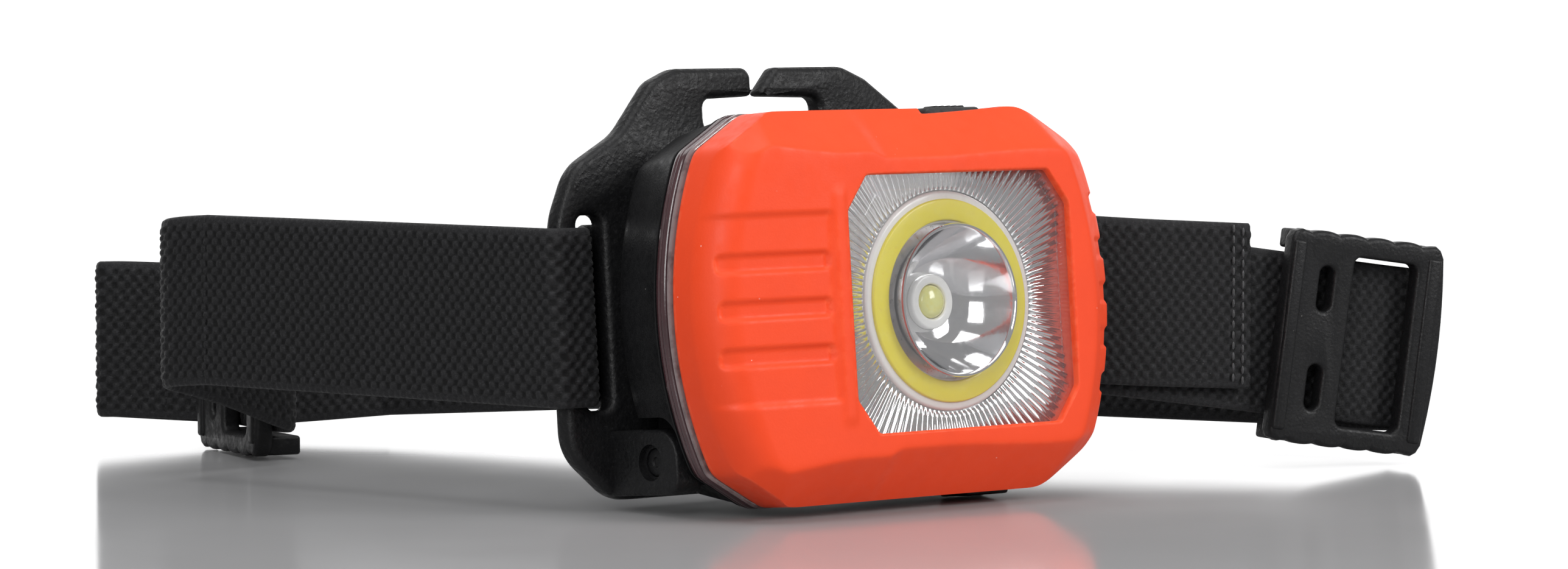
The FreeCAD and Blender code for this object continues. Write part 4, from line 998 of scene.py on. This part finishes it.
# ---------------------------------------------------------------- floor, backdrop, light and camera
# The camera's plan place in the band's frame, its height, and where it looks.
CAMERA_X = -473.7
CAMERA_Y = -535.0
CAMERA_HEIGHT = 73.25
CAMERA_HEADING = math.atan2(0.766, 0.643)
CAMERA_PITCH = math.radians(3.32)
CAMERA_LENS = 118.4


FLOOR_REACH = 1.6
WALL_DISTANCE = 4.0
WALL_HALF_WIDTH = 4.3
WALL_LOW = -0.3
WALL_HIGH = 3.4


def stage():
    """Pale glossy floor, and a glowing white wall well behind the object."""
    floor_mesh = bpy.data.meshes.new("floor")
    reach = FLOOR_REACH
    floor_mesh.from_pydata([(-reach, -reach, 0), (reach, -reach, 0), (reach, reach, 0), (-reach, reach, 0)],
                           [], [(0, 1, 2, 3)])
    look = Look("floor", (0.42, 0.42, 0.425), 0.12, Specular_IOR_Level=0.3)
    look.rough(look.noise(60.0), 0.1, 0.13)
    floor_mesh.materials.append(look.material)
    floor = bpy.data.objects.new("floor", floor_mesh)
    bpy.context.scene.collection.objects.link(floor)
    wall = bpy.data.meshes.new("backdrop")
    far = Vector((math.cos(CAMERA_HEADING), math.sin(CAMERA_HEADING), 0))
    side = Vector((far.y, -far.x, 0))
    foot = far * WALL_DISTANCE
    left = foot - side * WALL_HALF_WIDTH
    right = foot + side * WALL_HALF_WIDTH
    corners = [left, right, right, left]
    heights = (WALL_LOW, WALL_LOW, WALL_HIGH, WALL_HIGH)
    wall.from_pydata([(*corner.xy, height) for corner, height in zip(corners, heights)], [], [(0, 1, 2, 3)])
    glow = bpy.data.materials.new("backdrop_glow")
    glow.use_nodes = True
    shader = glow.node_tree.nodes["Principled BSDF"]
    shader.inputs["Emission Color"].default_value = (1, 1, 1, 1)
    shader.inputs["Emission Strength"].default_value = 1.3
    wall.materials.append(glow)
    backdrop = bpy.data.objects.new("backdrop", wall)
    bpy.context.scene.collection.objects.link(backdrop)


def area_light(name, place, target, width, height, power):
    data = bpy.data.lights.new(name, "AREA")
    data.shape = "RECTANGLE"
    data.size = width
    data.size_y = height
    data.energy = power
    lamp = bpy.data.objects.new(name, data)
    lamp.location = place
    lamp.rotation_euler = (Vector(target) - Vector(place)).to_track_quat("-Z", "Y").to_euler()
    bpy.context.scene.collection.objects.link(lamp)


def lights_and_world():
    world = bpy.data.worlds.new("studio")
    world.use_nodes = True
    background = world.node_tree.nodes["Background"]
    background.inputs["Color"].default_value = (1, 1, 1, 1)
    background.inputs["Strength"].default_value = 0.34
    bpy.context.scene.world = world
    middle = (0, -0.02, 0.03)
    area_light("top_softbox", (-0.15, -0.1, 0.8), middle, 0.7, 0.5, 4)
    area_light("front_left_softbox", (-0.75, -0.6, 0.45), middle, 0.35, 0.6, 5)
    area_light("front_right_softbox", (0.45, -0.85, 0.5), middle, 0.35, 0.5, 6)


def camera():
    data = bpy.data.cameras.new("camera")
    data.lens = CAMERA_LENS
    data.sensor_width = 36.0
    data.clip_start = 0.01
    item = bpy.data.objects.new("camera", data)
    item.location = (LAMP_X + CAMERA_X * MM, LAMP_Y + CAMERA_Y * MM, CAMERA_HEIGHT * MM)
    ahead = Vector((math.cos(CAMERA_HEADING) * math.cos(CAMERA_PITCH),
                    math.sin(CAMERA_HEADING) * math.cos(CAMERA_PITCH), -math.sin(CAMERA_PITCH)))
    item.rotation_euler = ahead.to_track_quat("-Z", "Y").to_euler()
    bpy.context.scene.collection.objects.link(item)
    bpy.context.scene.camera = item


stage()
lights_and_world()
camera()
bpy.context.scene.view_settings.view_transform = "Standard"
